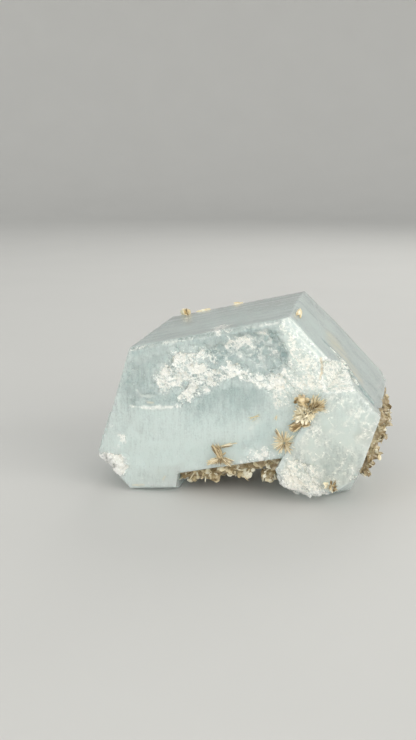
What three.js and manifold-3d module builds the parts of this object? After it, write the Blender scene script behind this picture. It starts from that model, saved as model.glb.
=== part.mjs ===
// Aquamarine crystal with muscovite mica: one natural mineral specimen, in millimetres, +Z up.
//
// The beryl is a stout six-sided crystal lying with its long axis level. It shows its flat end face to the
// front (-Y), with an etched hollow in it, and has grown together with a second crystal at the lower right.
// Mica lines the underside and the lower right face, and sits on the beryl in sheaves, a star and slivers.
//
// Everything is set out on the crystal's own axes: x to the right along the end face, y back along the
// crystal from its front end face, z up. The axes lean over by LEAN about y, as the specimen rests.
import * as THREE from "three";
import { ConvexGeometry } from "three/addons/geometries/ConvexGeometry.js";
import { mergeVertices } from "three/addons/utils/BufferGeometryUtils.js";
import Module from "manifold-3d";

const wasm = await Module();
wasm.setup();

// Driving dimensions
const LEAN = THREE.MathUtils.degToRad(12.8); // right end higher than the left
const AXIS_HEIGHT = 23.9; // of the crystal's axis above what the specimen rests on
const DEPTH = 37; // between the two end faces
const GAP = 0.3; // between the beryl and the mica on it

// The prism faces: bearing about the axis in degrees (90 is up) and distance from the axis
const TOP = { bearing: 90, distance: 16.6 };
const UPPER_RIGHT = { bearing: 31.2, distance: 23.1 };
const LOWER_RIGHT = { bearing: -30, distance: 32.8 };
const BOTTOM = { bearing: -90, distance: 15.2 };
const LOWER_LEFT = { bearing: -150, distance: 34.1 };
const UPPER_LEFT = { bearing: 150, distance: 26.7 };
const TOP_TAPER = 1.8; // degrees by which the top face rises towards the back
const BEVEL_SLOPE = 30; // degrees between an end face and the narrow pyramid faces round it
const TOP_BEVEL = 1.0; // width of the pyramid face along the top edge, measured on the end face
const RIGHT_BEVEL = 2.4; // and along the upper right edge
const UNDERCUT = 69; // degrees by which the broken undersides slope back from the end faces to the ground

const BERYL_COLOUR = 0xc6d8d6;
const MICA_COLOUR = 0xa8946c;

const beryl = () => new THREE.MeshStandardMaterial({ color: BERYL_COLOUR, roughness: 0.22, metalness: 0 });
const mica = () => new THREE.MeshStandardMaterial({ color: MICA_COLOUR, roughness: 0.45, metalness: 0 });

// A repeatable source of numbers from 0 to 1
function dice(seed) {
  let state = seed;
  return () => {
    state = (state + 0x6d2b79f5) | 0;
    let t = Math.imul(state ^ (state >>> 15), 1 | state);
    t = (t + Math.imul(t ^ (t >>> 7), 61 | t)) ^ t;
    return ((t ^ (t >>> 14)) >>> 0) / 4294967296;
  };
}

const between = (roll, low, high) => low + (high - low) * roll();
const vec = (x, y, z) => new THREE.Vector3(x, y, z);

function toSolid(geometry) {
  const bare = geometry.clone();
  bare.deleteAttribute("normal");
  bare.deleteAttribute("uv");
  const merged = mergeVertices(bare, 1e-4);
  return new wasm.Manifold(
    new wasm.Mesh({
      numProp: 3,
      vertProperties: merged.attributes.position.array,
      triVerts: new Uint32Array(merged.index.array),
    }),
  );
}

function toGeometry(solid) {
  const made = solid.getMesh();
  return new THREE.BufferGeometry()
    .setAttribute("position", new THREE.BufferAttribute(made.vertProperties, 3))
    .setIndex(new THREE.BufferAttribute(made.triVerts, 1));
}

const joined = (solids) => solids.reduce((all, next) => all.add(next));

// The biggest connected body of a solid: crumbs cut loose from it are dropped
function largest(solid) {
  const { vertProperties, triVerts } = solid.getMesh();
  const owner = Uint32Array.from({ length: vertProperties.length / 3 }, (_, i) => i);
  const head = (i) => (owner[i] === i ? i : (owner[i] = head(owner[i])));
  for (let i = 0; i < triVerts.length; i += 3)
    for (const next of [triVerts[i + 1], triVerts[i + 2]]) owner[head(next)] = head(triVerts[i]);
  const bodies = new Map();
  for (const corner of triVerts) {
    const body = head(corner);
    if (!bodies.has(body)) bodies.set(body, []);
    bodies.get(body).push(corner);
  }
  const [biggest] = [...bodies.values()].sort((a, b) => b.length - a.length);
  const corners = biggest.flatMap((i) => [...vertProperties.subarray(3 * i, 3 * i + 3)]);
  const positions = new THREE.Float32BufferAttribute(corners, 3);
  return toSolid(new THREE.BufferGeometry().setAttribute("position", positions));
}

// Planes, each with an outward normal

const endFace = (side, at) => new THREE.Plane(vec(0, side, 0), -side * at);

function prismFace({ bearing, distance }, taper = 0) {
  const a = THREE.MathUtils.degToRad(bearing);
  const t = THREE.MathUtils.degToRad(taper);
  const normal = vec(Math.cos(a) * Math.cos(t), -Math.sin(t), Math.sin(a) * Math.cos(t));
  return new THREE.Plane(normal, -distance * Math.cos(t));
}

const wall = (bearing, distance) => prismFace({ bearing, distance });

// A face that slopes back from the end plane y = front, which it meets at distance from the axis
function slopedFace({ bearing, distance }, slope, front = 0) {
  const a = THREE.MathUtils.degToRad(bearing);
  const s = THREE.MathUtils.degToRad(slope);
  const normal = vec(Math.cos(a) * Math.sin(s), -Math.cos(s), Math.sin(a) * Math.sin(s));
  return new THREE.Plane(normal, front * Math.cos(s) - distance * Math.sin(s));
}

// The narrow pyramid face along the edge of the front end face
function bevelFace({ bearing, distance }, width) {
  return slopedFace({ bearing, distance: distance - width }, BEVEL_SLOPE);
}

// The plane through three points, facing away from the point inside
function planeThrough(a, b, c, inside) {
  const plane = new THREE.Plane().setFromCoplanarPoints(a, b, c);
  return plane.distanceToPoint(inside) > 0 ? plane.negate() : plane;
}

const GROUND = new THREE.Plane(vec(-Math.sin(LEAN), 0, -Math.cos(LEAN)), -AXIS_HEIGHT);

// The convex solid inside all the planes, each moved out by grow
function polyhedron(planes, grow = 0) {
  const faces = planes.map((p) => new THREE.Plane(p.normal.clone(), p.constant - grow));
  const corners = [];
  const rows = new THREE.Matrix3();
  for (let i = 0; i < faces.length; i++)
    for (let j = i + 1; j < faces.length; j++)
      for (let k = j + 1; k < faces.length; k++) {
        const [a, b, c] = [faces[i], faces[j], faces[k]];
        rows.set(...a.normal.toArray(), ...b.normal.toArray(), ...c.normal.toArray());
        if (Math.abs(rows.determinant()) < 1e-6) continue;
        const corner = vec(-a.constant, -b.constant, -c.constant).applyMatrix3(rows.invert());
        const outside = faces.some((f) => f.distanceToPoint(corner) > 1e-5);
        if (!outside && !corners.some((q) => q.distanceTo(corner) < 1e-3)) corners.push(corner);
      }
  return toSolid(new ConvexGeometry(corners));
}

// An angular lump of broken stone
function lump(roll, middle, radii, corners = 16) {
  const points = [];
  for (let i = 0; i < corners; i++) {
    const way = vec(between(roll, -1, 1), between(roll, -1, 1), between(roll, -1, 1)).normalize();
    points.push(way.multiply(radii).multiplyScalar(between(roll, 0.8, 1)).add(middle));
  }
  return toSolid(new ConvexGeometry(points));
}

// Angular lumps set at even steps along a row, each grown by grow
function lumpsAlong(roll, { from, to, count, radius }, grow = 0) {
  return Array.from({ length: count }, (_, i) => {
    const middle = from.clone().lerp(to, i / (count - 1));
    const size = vec(between(roll, 0.8, 1.3), between(roll, 0.8, 1.3), between(roll, 0.7, 1.1));
    return lump(roll, middle, size.multiplyScalar(radius).addScalar(grow));
  });
}

function lumpRows(seed, rows, grow = 0) {
  const roll = dice(seed);
  return rows.flatMap((row) => lumpsAlong(roll, row, grow));
}

// A flat outline on the front end face, cut in from y = top to y = bottom
function slab(points, top, bottom) {
  const outline = new THREE.Shape(points.map(([x, z]) => new THREE.Vector2(x, z)));
  const cut = new THREE.ExtrudeGeometry(outline, { depth: bottom - top, bevelEnabled: false });
  return toSolid(cut.rotateX(Math.PI / 2).translate(0, bottom, 0));
}

// Beryl

// The main crystal as it would be with nothing broken or etched away
function mainCrystal(grow = 0) {
  const faces = [
    endFace(-1, 0),
    endFace(1, DEPTH),
    prismFace(TOP, TOP_TAPER),
    prismFace(UPPER_RIGHT),
    prismFace(LOWER_RIGHT),
    prismFace(BOTTOM),
    prismFace(LOWER_LEFT),
    prismFace(UPPER_LEFT),
    bevelFace(TOP, TOP_BEVEL),
    bevelFace(UPPER_RIGHT, RIGHT_BEVEL),
  ];
  return polyhedron(faces, grow);
}

// The second crystal stands on the ground at the lower right. Its end face leans back towards the right
// corner, its lower right face is in line with the main crystal's, and a ledge runs along its top
const SIDE_DEPTH = 27;
const SIDE_MIDDLE = vec(20, 12, -14);
const LEDGE_FRONT = [vec(21.6, -0.4, -1.3), vec(28.1, -0.2, -2.1)];
const LEDGE_BACK = vec(25.8, 10.9, 2.2);
const SIDE_END = planeThrough(vec(21.6, -0.5, -1.3), vec(33.1, 0, -8.6), vec(12, -1.1, -22), SIDE_MIDDLE);
const LEDGE = planeThrough(...LEDGE_FRONT, LEDGE_BACK, SIDE_MIDDLE);

const underside = (bearing, distance) => slopedFace({ bearing, distance }, UNDERCUT, -0.6);

function sideCrystal(grow = 0) {
  const faces = [
    SIDE_END,
    endFace(1, SIDE_DEPTH),
    LEDGE,
    prismFace(UPPER_RIGHT),
    prismFace(LOWER_RIGHT),
    wall(138.5, -16.6),
    wall(-172, -4.4),
    wall(-143, 9.4),
    underside(-45, 32.4),
    underside(-62, 31),
    underside(-85, 26),
    underside(-108, 19),
    underside(-130, 11.6),
    underside(-150, 4.4),
    GROUND,
  ];
  return polyhedron(faces, grow);
}

// The broken stub of crystal under the lower left, on which the specimen rests
const FOOT_DEPTH = 14;

function foot(grow = 0) {
  const faces = [
    endFace(-1, 0),
    endFace(1, FOOT_DEPTH),
    wall(90, -10),
    prismFace(LOWER_LEFT),
    wall(-20, -10.6),
    slopedFace({ bearing: -97, distance: 20.5 }, UNDERCUT),
    GROUND,
  ];
  return polyhedron(faces, grow);
}

// Terraces etched into the end face, from the wide shallow one to the deep one under the top edge
const HOLLOW = [
  [-12, 14.4], [-4, 14.6], [5.1, 15], [11.9, 14.8], [13.5, 13.8], [14.7, 11.2], [14.6, 6.2], [11, 3.7],
  [7.9, 3.1], [2.9, 4.2], [0.4, 5.5], [-1.3, 4.4], [-5.7, 3.2], [-8.5, 1.7], [-12.5, 0.4], [-18.5, 1.2],
  [-24.5, 2.6], [-26, 8.4], [-22.6, 13.2], [-16.3, 14],
];
const HOLLOW_STEP = [
  [-10.5, 12.8], [-2, 13.4], [5.1, 14.5], [11.6, 14.3], [13.2, 12.8], [13.9, 9], [13, 5.8], [9, 4.8],
  [4.5, 6.4], [0.2, 7.2], [-4.5, 6.2], [-9.8, 4.2], [-17.2, 4], [-18.6, 7.2], [-15, 11],
];
const HOLLOW_WINDOW = [
  [1, 12.4], [5.1, 14], [11.3, 13.8], [12.7, 12.4], [13.2, 8.8], [11.5, 6.6], [8, 7.2], [3, 8], [-0.4, 9.6],
];
const HOLLOW_DEPTHS = [0.35, 0.8, 1.5];

function endFaceHollow() {
  const outlines = [HOLLOW, HOLLOW_STEP, HOLLOW_WINDOW];
  return joined(outlines.map((outline, i) => slab(outline, -3, HOLLOW_DEPTHS[i])));
}

// Where the upper right edge is broken away above the ledge, from the end face back into the upper right face
const BREAK_TOP = vec(21.2, 0, 5.6);
const BREAK_RUBBLE = [{ from: vec(22.8, 1, 3.8), to: vec(25, 3.6, 1.6), count: 3, radius: 1.3 }];

function brokenEdge() {
  const inside = vec(25, 1, 1.6);
  const wedge = polyhedron([
    planeThrough(BREAK_TOP, LEDGE_FRONT[0], LEDGE_BACK, inside),
    planeThrough(BREAK_TOP, LEDGE_BACK, vec(31, 0, 8), inside),
    LEDGE.clone().negate(),
    endFace(-1, -4),
    endFace(1, 16),
    wall(0, 36),
  ]);
  return joined([wedge, ...lumpRows(41, BREAK_RUBBLE)]);
}

// A growth layer that stands proud of the upper right face, back from a step parallel to the end face
const LAYER_HEIGHT = 0.45;
const LAYER_OUTLINE = [[9.7, 11], [17, 11], [21, 5.5], [27.5, 3.6], [28.6, DEPTH], [1.6, DEPTH]];

function proudLayer() {
  const bearing = THREE.MathUtils.degToRad(UPPER_RIGHT.bearing);
  const outward = vec(Math.cos(bearing), 0, Math.sin(bearing));
  const down = vec(Math.sin(bearing), 0, -Math.cos(bearing));
  const edge = (TOP.distance - UPPER_RIGHT.distance * Math.sin(bearing)) / Math.cos(bearing);
  const corner = outward.clone().multiplyScalar(UPPER_RIGHT.distance).addScaledVector(down, -edge);
  const outline = new THREE.Shape(LAYER_OUTLINE.map(([s, y]) => new THREE.Vector2(s, y)));
  const plate = new THREE.ExtrudeGeometry(outline, { depth: LAYER_HEIGHT + 1, bevelEnabled: false });
  const axes = new THREE.Matrix4().makeBasis(down, vec(0, 1, 0), outward);
  return toSolid(plate.translate(0, 0, -1).applyMatrix4(axes.setPosition(corner)));
}

// The lower half of the upper left face stands a little further out
function leftLayer() {
  return polyhedron([
    endFace(-1, 0.6),
    endFace(1, DEPTH - 3),
    wall(UPPER_LEFT.bearing, UPPER_LEFT.distance + 0.5),
    prismFace(LOWER_LEFT),
    wall(57, -14.9),
    wall(-30, -22),
  ]);
}

// Low terraces on the back end face, each set in from the edges of the one below
function backTerrace(height, inset) {
  return polyhedron([
    endFace(-1, DEPTH - 2),
    endFace(1, DEPTH + height),
    wall(TOP.bearing, TOP.distance - inset),
    wall(UPPER_RIGHT.bearing, UPPER_RIGHT.distance - 2 * inset),
    wall(LOWER_RIGHT.bearing, LOWER_RIGHT.distance - 3 * inset),
    wall(BOTTOM.bearing, BOTTOM.distance - 1.5 * inset),
    wall(LOWER_LEFT.bearing, LOWER_LEFT.distance - 4 * inset),
    wall(UPPER_LEFT.bearing, UPPER_LEFT.distance - 1.8 * inset),
  ]);
}

// Chips knocked off the lower left edge and the back corners
const CHIPS = [
  { from: vec(-35.4, 0.2, -9.6), to: vec(-32, 0.6, -16), count: 4, radius: 1.5 },
  { from: vec(33.5, DEPTH, -8), to: vec(29, DEPTH + 0.5, -15), count: 3, radius: 2.6 },
  { from: vec(-33, DEPTH, -4), to: vec(-30, DEPTH, -14), count: 3, radius: 2.4 },
];

// Broken knobs along the foot of the side crystal and under the lower left corner
const KNOBS = [
  { from: vec(9.6, 2.4, -20.6), to: vec(18.4, 3, -24), count: 5, radius: 2.5 },
  { from: vec(-26, 2.6, -16), to: vec(-20, 2.6, -16.4), count: 3, radius: 2.4 },
  { from: vec(-31.6, 3, -9.6), to: vec(-29.6, 3, -13.2), count: 2, radius: 2.2 },
];
const knobs = (grow = 0) => lumpRows(43, KNOBS, grow);

const FAR = 90;
const ABOVE_GROUND = polyhedron([
  GROUND,
  endFace(-1, -FAR),
  endFace(1, FAR),
  wall(90, FAR),
  wall(0, FAR),
  wall(180, FAR),
]);

function aquamarine() {
  const layers = [proudLayer(), leftLayer(), backTerrace(0.9, 3.2), backTerrace(0.45, 1.6)];
  const body = joined([mainCrystal(), ...layers])
    .subtract(brokenEdge())
    .subtract(endFaceHollow())
    .subtract(joined(lumpRows(42, CHIPS)));
  const whole = joined([body, sideCrystal(), foot(), ...knobs()]);
  return largest(whole.intersect(ABOVE_GROUND));
}

// Mica

// What the mica keeps clear of
const BERYL_AND_GAP = joined([mainCrystal(GAP), sideCrystal(GAP), foot(GAP), ...knobs(GAP)]);

// A six-sided leaf of mica, its face square to z
function leaf(length, width, thickness) {
  const six = new THREE.CylinderGeometry(1, 1, thickness, 6).rotateX(Math.PI / 2);
  return six.scale(length / 2, width / 2, 1);
}

function turned(roll, tilt) {
  const spin = new THREE.Euler(
    between(roll, -tilt, tilt),
    between(roll, -tilt, tilt),
    between(roll, 0, Math.PI),
  );
  return new THREE.Quaternion().setFromEuler(spin);
}

const LEAF_THICKNESS = 0.5;

// Leaves that spread from one point, most of them to the side of normal; flat lays them down across it
function sheaf(roll, { at, normal, leaves, length, width, spread, flat = 0 }) {
  const up = normal.clone().normalize();
  return Array.from({ length: leaves }, () => {
    const wild = vec(between(roll, -1, 1), between(roll, -1, 1), between(roll, -1, 1)).normalize();
    const way = up.clone().lerp(wild, spread);
    way.addScaledVector(up, -flat * way.dot(up)).normalize();
    const reach = between(roll, 0.6, 1) * length;
    const blade = leaf(reach, between(roll, 0.6, 1) * width, LEAF_THICKNESS);
    blade.translate(reach * 0.42, 0, 0).rotateX(between(roll, 0, Math.PI));
    const turn = new THREE.Quaternion().setFromUnitVectors(vec(1, 0, 0), way);
    return toSolid(blade.applyQuaternion(turn).translate(...at.toArray()));
  });
}

// Books of mica strewn over a patch: place gives the middle of the next one
function books(roll, count, place, size, tilt) {
  return Array.from({ length: count }, () => {
    const across = between(roll, 0.6, 1.2) * size;
    const book = leaf(across, across * between(roll, 0.6, 0.95), between(roll, 0.18, 0.34) * size);
    book.applyQuaternion(turned(roll, tilt));
    return toSolid(book.translate(...place().toArray()));
  });
}

// Cut clear of the beryl and the ground, as one body
function seated(solids) {
  return largest(joined(solids).subtract(BERYL_AND_GAP).intersect(ABOVE_GROUND));
}

// Lumps of mica set out over a patch in rows: at gives a point of the patch from two distances along it
function bed(roll, [uFrom, uTo], [vFrom, vTo], spacing, radii, at) {
  const lumps = [];
  for (let u = uFrom; u <= uTo; u += spacing)
    for (let v = vFrom; v <= vTo; v += spacing) {
      const shift = () => between(roll, -0.25, 0.25) * spacing;
      const size = radii.clone().multiplyScalar(between(roll, 0.85, 1.15));
      lumps.push(lump(roll, at(u + shift(), v + shift()), size, 14));
    }
  return lumps;
}

const BOOK_SIZE = 3.2;

function crustUnder() {
  const roll = dice(7);
  const below = (x, y, depth) => vec(x, y, -BOTTOM.distance - depth);
  const sheet = polyhedron([
    endFace(-1, 2.6),
    endFace(1, 32.6),
    wall(90, 0),
    wall(-90, BOTTOM.distance + 2),
    wall(0, 8),
    wall(180, 26.5),
    planeThrough(below(-17, 3, 0), below(-17, 3, 5), below(-26.5, 17, 0), below(0, 20, 0)),
  ]);
  const fan = { from: vec(5.6, 4.4, -17), to: vec(4.4, 4, -19.6), count: 2, radius: 2.5 };
  const lip = () => below(between(roll, -15.5, 6), between(roll, 2.2, 4.6), between(roll, 0.8, 3.1));
  const under = () => below(between(roll, -16, 8), between(roll, 5, 32), between(roll, 2.2, 3));
  return seated([
    sheet,
    ...bed(roll, [-15, 8], [5, 32], 5, vec(3.6, 3.6, 3.4), (x, y) => below(x, y, 0.6)),
    ...bed(roll, [-25, -17], [18, 31], 4.2, vec(3.4, 3.4, 4), (x, y) => below(x, y, 0.3)),
    ...lumpsAlong(roll, fan),
    ...books(roll, 22, lip, BOOK_SIZE, 1.5),
    ...books(roll, 8, under, BOOK_SIZE, 1.3),
  ]);
}

function crustSide() {
  const roll = dice(19);
  const outward = prismFace(LOWER_RIGHT).normal;
  const down = vec(outward.z, 0, -outward.x);
  const onFace = (along, deep, proud) =>
    outward.clone().multiplyScalar(LOWER_RIGHT.distance + proud).addScaledVector(down, along).setY(deep);
  const sheet = polyhedron([
    endFace(-1, 4),
    endFace(1, 29),
    wall(-30, LOWER_RIGHT.distance + 1.4),
    wall(150, 4 - LOWER_RIGHT.distance),
    wall(60, 8.4),
    wall(-120, 8),
    planeThrough(onFace(4, 29, 0), onFace(4, 29, 3), onFace(9, 7, 0), onFace(0, 10, 0)),
  ]);
  const balls = [onFace(-7.6, 6, 0.6), onFace(-2.6, 6, 1.3), onFace(1.6, 6, 1.2)];
  const tail = { from: onFace(4, 4.8, 0.4), to: onFace(8.4, 4.4, -0.6), count: 3, radius: 1.8 };
  const rim = () => onFace(between(roll, -7.6, 7), between(roll, 3.4, 7), between(roll, 0.6, 2.4));
  const strewn = () => onFace(between(roll, -7, 5), between(roll, 6, 28), between(roll, 1, 2));
  return seated([
    sheet,
    ...bed(roll, [-6.6, 5], [5.4, 28], 4.6, vec(2.8, 3.2, 3.2), (along, deep) => onFace(along, deep, 0)),
    ...lumpsAlong(roll, tail),
    ...balls.map((at) => lump(roll, at, vec(2.5, 2.6, 2.7), 20)),
    ...books(roll, 20, rim, BOOK_SIZE * 0.8, 1.5),
    ...books(roll, 6, strewn, BOOK_SIZE * 0.8, 1.4),
  ]);
}

// Sheaves in the angle between the two crystals
const OUT = vec(0, -1, 0);
const CLUSTER = [
  { at: vec(16.1, -0.2, -2.3), normal: vec(-0.3, -1, 0.3), leaves: 8, length: 2.3, width: 2, spread: 0.62 },
  { at: vec(18.9, -0.3, -4.1), normal: vec(0.8, -0.9, 0.7), leaves: 9, length: 3.1, width: 2, spread: 0.5 },
  { at: vec(16.5, -0.4, -5.8), normal: vec(-0.3, -1, 0), leaves: 9, length: 2.6, width: 2, spread: 0.62 },
  { at: vec(14, -0.3, -7.2), normal: vec(-0.8, -0.9, -0.1), leaves: 7, length: 2.8, width: 1.6, spread: 0.5 },
];

// Sprays that stand alone: a flat star, a wedge of four arms, a tuft and the flakes at the foot
const STAR = [
  { at: vec(10.1, -0.5, -11.5), normal: OUT, leaves: 22, length: 4.1, width: 1, spread: 0.86, flat: 0.5 },
];
const WEDGE_AT = vec(-5.2, -0.4, -12.6);
const WEDGE = [
  { at: WEDGE_AT, normal: vec(0, -0.5, 1), leaves: 4, length: 4.4, width: 1.5, spread: 0.35 },
  { at: WEDGE_AT, normal: vec(-1, -0.5, -0.1), leaves: 4, length: 3.9, width: 1.4, spread: 0.3 },
  { at: WEDGE_AT, normal: vec(1, -0.5, -0.4), leaves: 3, length: 3.3, width: 1.4, spread: 0.3 },
  { at: WEDGE_AT, normal: vec(1, -0.25, 0.7), leaves: 2, length: 6, width: 0.9, spread: 0.08 },
];
const TUFT = [
  { at: vec(-15.9, 35.4, 17.3), normal: vec(0, -0.3, 1), leaves: 10, length: 2.8, width: 1.5, spread: 0.66 },
];
const BASE = [
  { at: vec(18.6, -0.2, -23.4), normal: vec(0.2, -1, 0.2), leaves: 9, length: 2.4, width: 1.4, spread: 0.66 },
];

const SMALL_HEART = vec(1.2, 1.2, 1.2);
const WIDE_HEART = vec(2.5, 1.6, 2.5);

// Sheaves joined by a lump at the heart of each
function spray(seed, sheaves, radii) {
  const roll = dice(seed);
  const hearts = new Set(sheaves.map((one) => one.at));
  return seated([
    ...sheaves.flatMap((one) => sheaf(roll, one)),
    ...Array.from(hearts, (at) => lump(roll, at, radii, 16)),
  ]);
}

// Slivers: single leaves that lie along a face of the beryl. Each has its middle, its length and the way it
// points, and the outward normal of the face
const BACK = vec(0, 1, 0);
const ON_RIGHT = prismFace(UPPER_RIGHT).normal;
const SLIVERS = {
  mica_sliver_mid: { at: vec(4.5, 0, -4.7), way: vec(1, 0, 0.25), normal: OUT, length: 3.8 },
  mica_sliver_short: { at: vec(9.4, 0, -5.4), way: vec(0.6, 0, 1), normal: OUT, length: 1.9 },
  mica_sliver_corner: { at: vec(17.8, 9.4, 16), way: vec(0.12, 1, 0.25), normal: ON_RIGHT, length: 5 },
  mica_flake_ridge: { at: vec(-11.6, DEPTH, 17.7), way: vec(1, 0, 0.05), normal: BACK, length: 5 },
  mica_flake_ridge_far: { at: vec(-2, DEPTH, 17.6), way: vec(1, 0, 0.02), normal: BACK, length: 4.2 },
};
const SLIVER_WIDTH = 1;

function sliver({ at, way, normal, length }) {
  const along = way.clone().normalize();
  const across = normal.clone().cross(along).normalize();
  const axes = new THREE.Matrix4().makeBasis(along, across, along.clone().cross(across));
  const low = leaf(length, SLIVER_WIDTH, LEAF_THICKNESS * 2).translate(0, 0, LEAF_THICKNESS);
  const high = leaf(length * 0.7, SLIVER_WIDTH * 0.6, LEAF_THICKNESS * 2)
    .rotateX(0.5)
    .translate(length * 0.1, 0, LEAF_THICKNESS * 1.8);
  const solids = [low, high].map((g) => toSolid(g.applyMatrix4(axes).translate(...at.toArray())));
  return seated(solids);
}

// The specimen

const onAxes = new THREE.Group();
onAxes.rotation.y = -LEAN;

function place(name, solid, material) {
  const mesh = new THREE.Mesh(toGeometry(solid), material);
  mesh.name = name;
  onAxes.add(mesh);
}

place("aquamarine", aquamarine(), beryl());
place("mica_crust_under", crustUnder(), mica());
place("mica_crust_side", crustSide(), mica());
place("mica_cluster", spray(23, CLUSTER, WIDE_HEART), mica());
place("mica_star", spray(31, STAR, SMALL_HEART), mica());
place("mica_wedge", spray(37, WEDGE, SMALL_HEART), mica());
place("mica_tuft", spray(43, TUFT, SMALL_HEART), mica());
place("mica_base", spray(47, BASE, SMALL_HEART), mica());
for (const [name, one] of Object.entries(SLIVERS)) place(name, sliver(one), mica());

// The origin is the middle of the specimen's base
const specimen = new THREE.Group();
specimen.add(onAxes);
specimen.updateMatrixWorld(true);
const extent = new THREE.Box3().setFromObject(onAxes, true);
const middle = extent.getCenter(vec(0, 0, 0));
onAxes.position.set(-middle.x, -middle.y, -extent.min.z);

export default specimen;
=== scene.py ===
import math
from functools import partial

import bmesh
import bpy
import numpy as np
from mathutils import Matrix, Vector, noise
from mathutils.bvhtree import BVHTree
from mathutils.geometry import delaunay_2d_cdt


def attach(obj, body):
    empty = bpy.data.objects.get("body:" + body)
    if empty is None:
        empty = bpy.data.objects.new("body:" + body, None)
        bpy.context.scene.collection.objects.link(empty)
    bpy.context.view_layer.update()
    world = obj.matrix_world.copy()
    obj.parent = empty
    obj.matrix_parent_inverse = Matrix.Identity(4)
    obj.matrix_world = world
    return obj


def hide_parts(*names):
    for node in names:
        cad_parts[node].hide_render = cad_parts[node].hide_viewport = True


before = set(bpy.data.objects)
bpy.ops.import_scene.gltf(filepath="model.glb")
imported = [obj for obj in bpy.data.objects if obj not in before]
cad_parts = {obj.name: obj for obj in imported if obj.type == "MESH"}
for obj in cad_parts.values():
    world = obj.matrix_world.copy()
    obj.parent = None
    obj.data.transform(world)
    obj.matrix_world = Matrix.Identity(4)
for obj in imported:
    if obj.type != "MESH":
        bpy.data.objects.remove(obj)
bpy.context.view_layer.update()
mm = 0.001
scene = bpy.context.scene

# the beryl's own axes: x along the end face, y back along the crystal, z up, all leaning over about y
crystalAxes = {
    "lean": math.radians(12.8),
    "middle": (-1.637, -17.903, 23.9),  # where the axis meets the front end face, in mm
}
leanTurn = Matrix.Rotation(-crystalAxes["lean"], 4, "Y")
fromCrystal = Matrix.Scale(mm, 4) @ Matrix.Translation(crystalAxes["middle"]) @ leanTurn
toCrystal = fromCrystal.inverted()


# small sums used by every piece
def ramp(value, low, high):  # 0 below low, 1 above high, smooth between
    t = np.clip((value - low) / (high - low), 0, 1)
    return t * t * (3 - 2 * t)


def noiseAt(points, size, seed):  # smooth noise from -1 to 1, a given size in mm
    shift = Vector((17.3 * seed, 5.1 * seed, 9.7 * seed))
    return np.array([noise.noise(Vector(p) / size + shift) for p in points])


grains = {"step": 0.22, "tilt": 0.42}  # of broken grains: steps between them, by their size, and slope


def grainsAt(points, size, seed):  # of each point's grain: its middle, its tone from 0 to 1, its height at the point
    shift = Vector((3.7 * seed, 11.9 * seed, 6.1 * seed))
    middles = [noise.voronoi(Vector(p) / size + shift)[1][0] for p in points]
    tones = np.array([noise.cell(m * 53.7) for m in middles]) * 0.5 + 0.5
    slopes = np.array([noise.cell_vector(m * 41.3) for m in middles])
    middles = np.array([(m - shift) * size for m in middles])
    heights = (tones - 0.5) * size * grains["step"]
    heights = heights + np.einsum("ij,ij->i", points - middles, slopes) * grains["tilt"]
    return middles, tones, heights


def insideOf(flat, outline):  # how far inside an outline each point is, in mm, negative outside
    corners = np.array(outline, float)
    ends = np.roll(corners, -1, 0)
    nearest = np.full(len(flat), 1e9)
    odd = np.zeros(len(flat), bool)
    for a, b in zip(corners, ends):
        along = np.clip(((flat - a) @ (b - a)) / max((b - a) @ (b - a), 1e-9), 0, 1)
        nearest = np.minimum(nearest, np.linalg.norm(flat - a - along[:, None] * (b - a), axis=1))
        crosses = (a[1] > flat[:, 1]) != (b[1] > flat[:, 1])
        rise = b[1] - a[1] if abs(b[1] - a[1]) > 1e-9 else 1e-9
        odd ^= crosses & (flat[:, 0] < (b[0] - a[0]) * (flat[:, 1] - a[1]) / rise + a[0])
    return np.where(odd, nearest, -nearest)


def awayFrom(flat, path):  # distance of each point from an open path
    nearest = np.full(len(flat), 1e9)
    for a, b in zip(np.array(path[:-1], float), np.array(path[1:], float)):
        along = np.clip(((flat - a) @ (b - a)) / ((b - a) @ (b - a)), 0, 1)
        nearest = np.minimum(nearest, np.linalg.norm(flat - a - along[:, None] * (b - a), axis=1))
    return nearest


def keepAttribute(mesh, name, values):
    spot = mesh.attributes.new(name, "FLOAT", "POINT")
    spot.data.foreach_set("value", np.asarray(values, np.float32))


def meshFrom(bm, name):
    mesh = bpy.data.meshes.new(name)
    bm.to_mesh(mesh)
    bm.free()
    return mesh


def newPiece(name, mesh, *materials):
    piece = bpy.data.objects.new(name, mesh)
    scene.collection.objects.link(piece)
    for material in materials:
        mesh.materials.append(material)
    return piece


# materials
def newMaterial(name):
    material = bpy.data.materials.new(name)
    material.use_nodes = True
    material.node_tree.nodes.clear()
    return material, material.node_tree


def fill(tree, spot, value):  # links a socket, or sets its value
    if isinstance(value, bpy.types.NodeSocket):
        tree.links.new(value, spot)
    else:
        spot.default_value = value


def put(tree, kind, settings=None, **links):  # a node, its settings, and its sockets by name or as i0, i1
    made = tree.nodes.new(kind)
    for key, value in (settings or {}).items():
        setattr(made, key, value)
    for key, value in links.items():
        byNumber = key[0] == "i" and key[1:].isdigit()
        fill(tree, made.inputs[int(key[1:]) if byNumber else key.replace("_", " ")], value)
    return made


def sumOf(tree, kind, a, b, clamp=False):
    return put(tree, "ShaderNodeMath", {"operation": kind, "use_clamp": clamp}, i0=a, i1=b).outputs[0]


def rangeOf(tree, value, low, high, toLow=0.0, toHigh=1.0):
    made = put(tree, "ShaderNodeMapRange", {"interpolation_type": "SMOOTHSTEP"}, Value=value)
    for spot, number in zip(made.inputs[1:5], (low, high, toLow, toHigh)):
        spot.default_value = number
    return made.outputs[0]


def blendOf(tree, share, a, b):  # colours a and b by a share
    made = put(tree, "ShaderNodeMix", {"data_type": "RGBA"}, i0=share)
    for spot, value in ((made.inputs[6], a), (made.inputs[7], b)):
        fill(tree, spot, value if isinstance(value, bpy.types.NodeSocket) else (*value, 1))
    return made.outputs[2]


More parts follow.
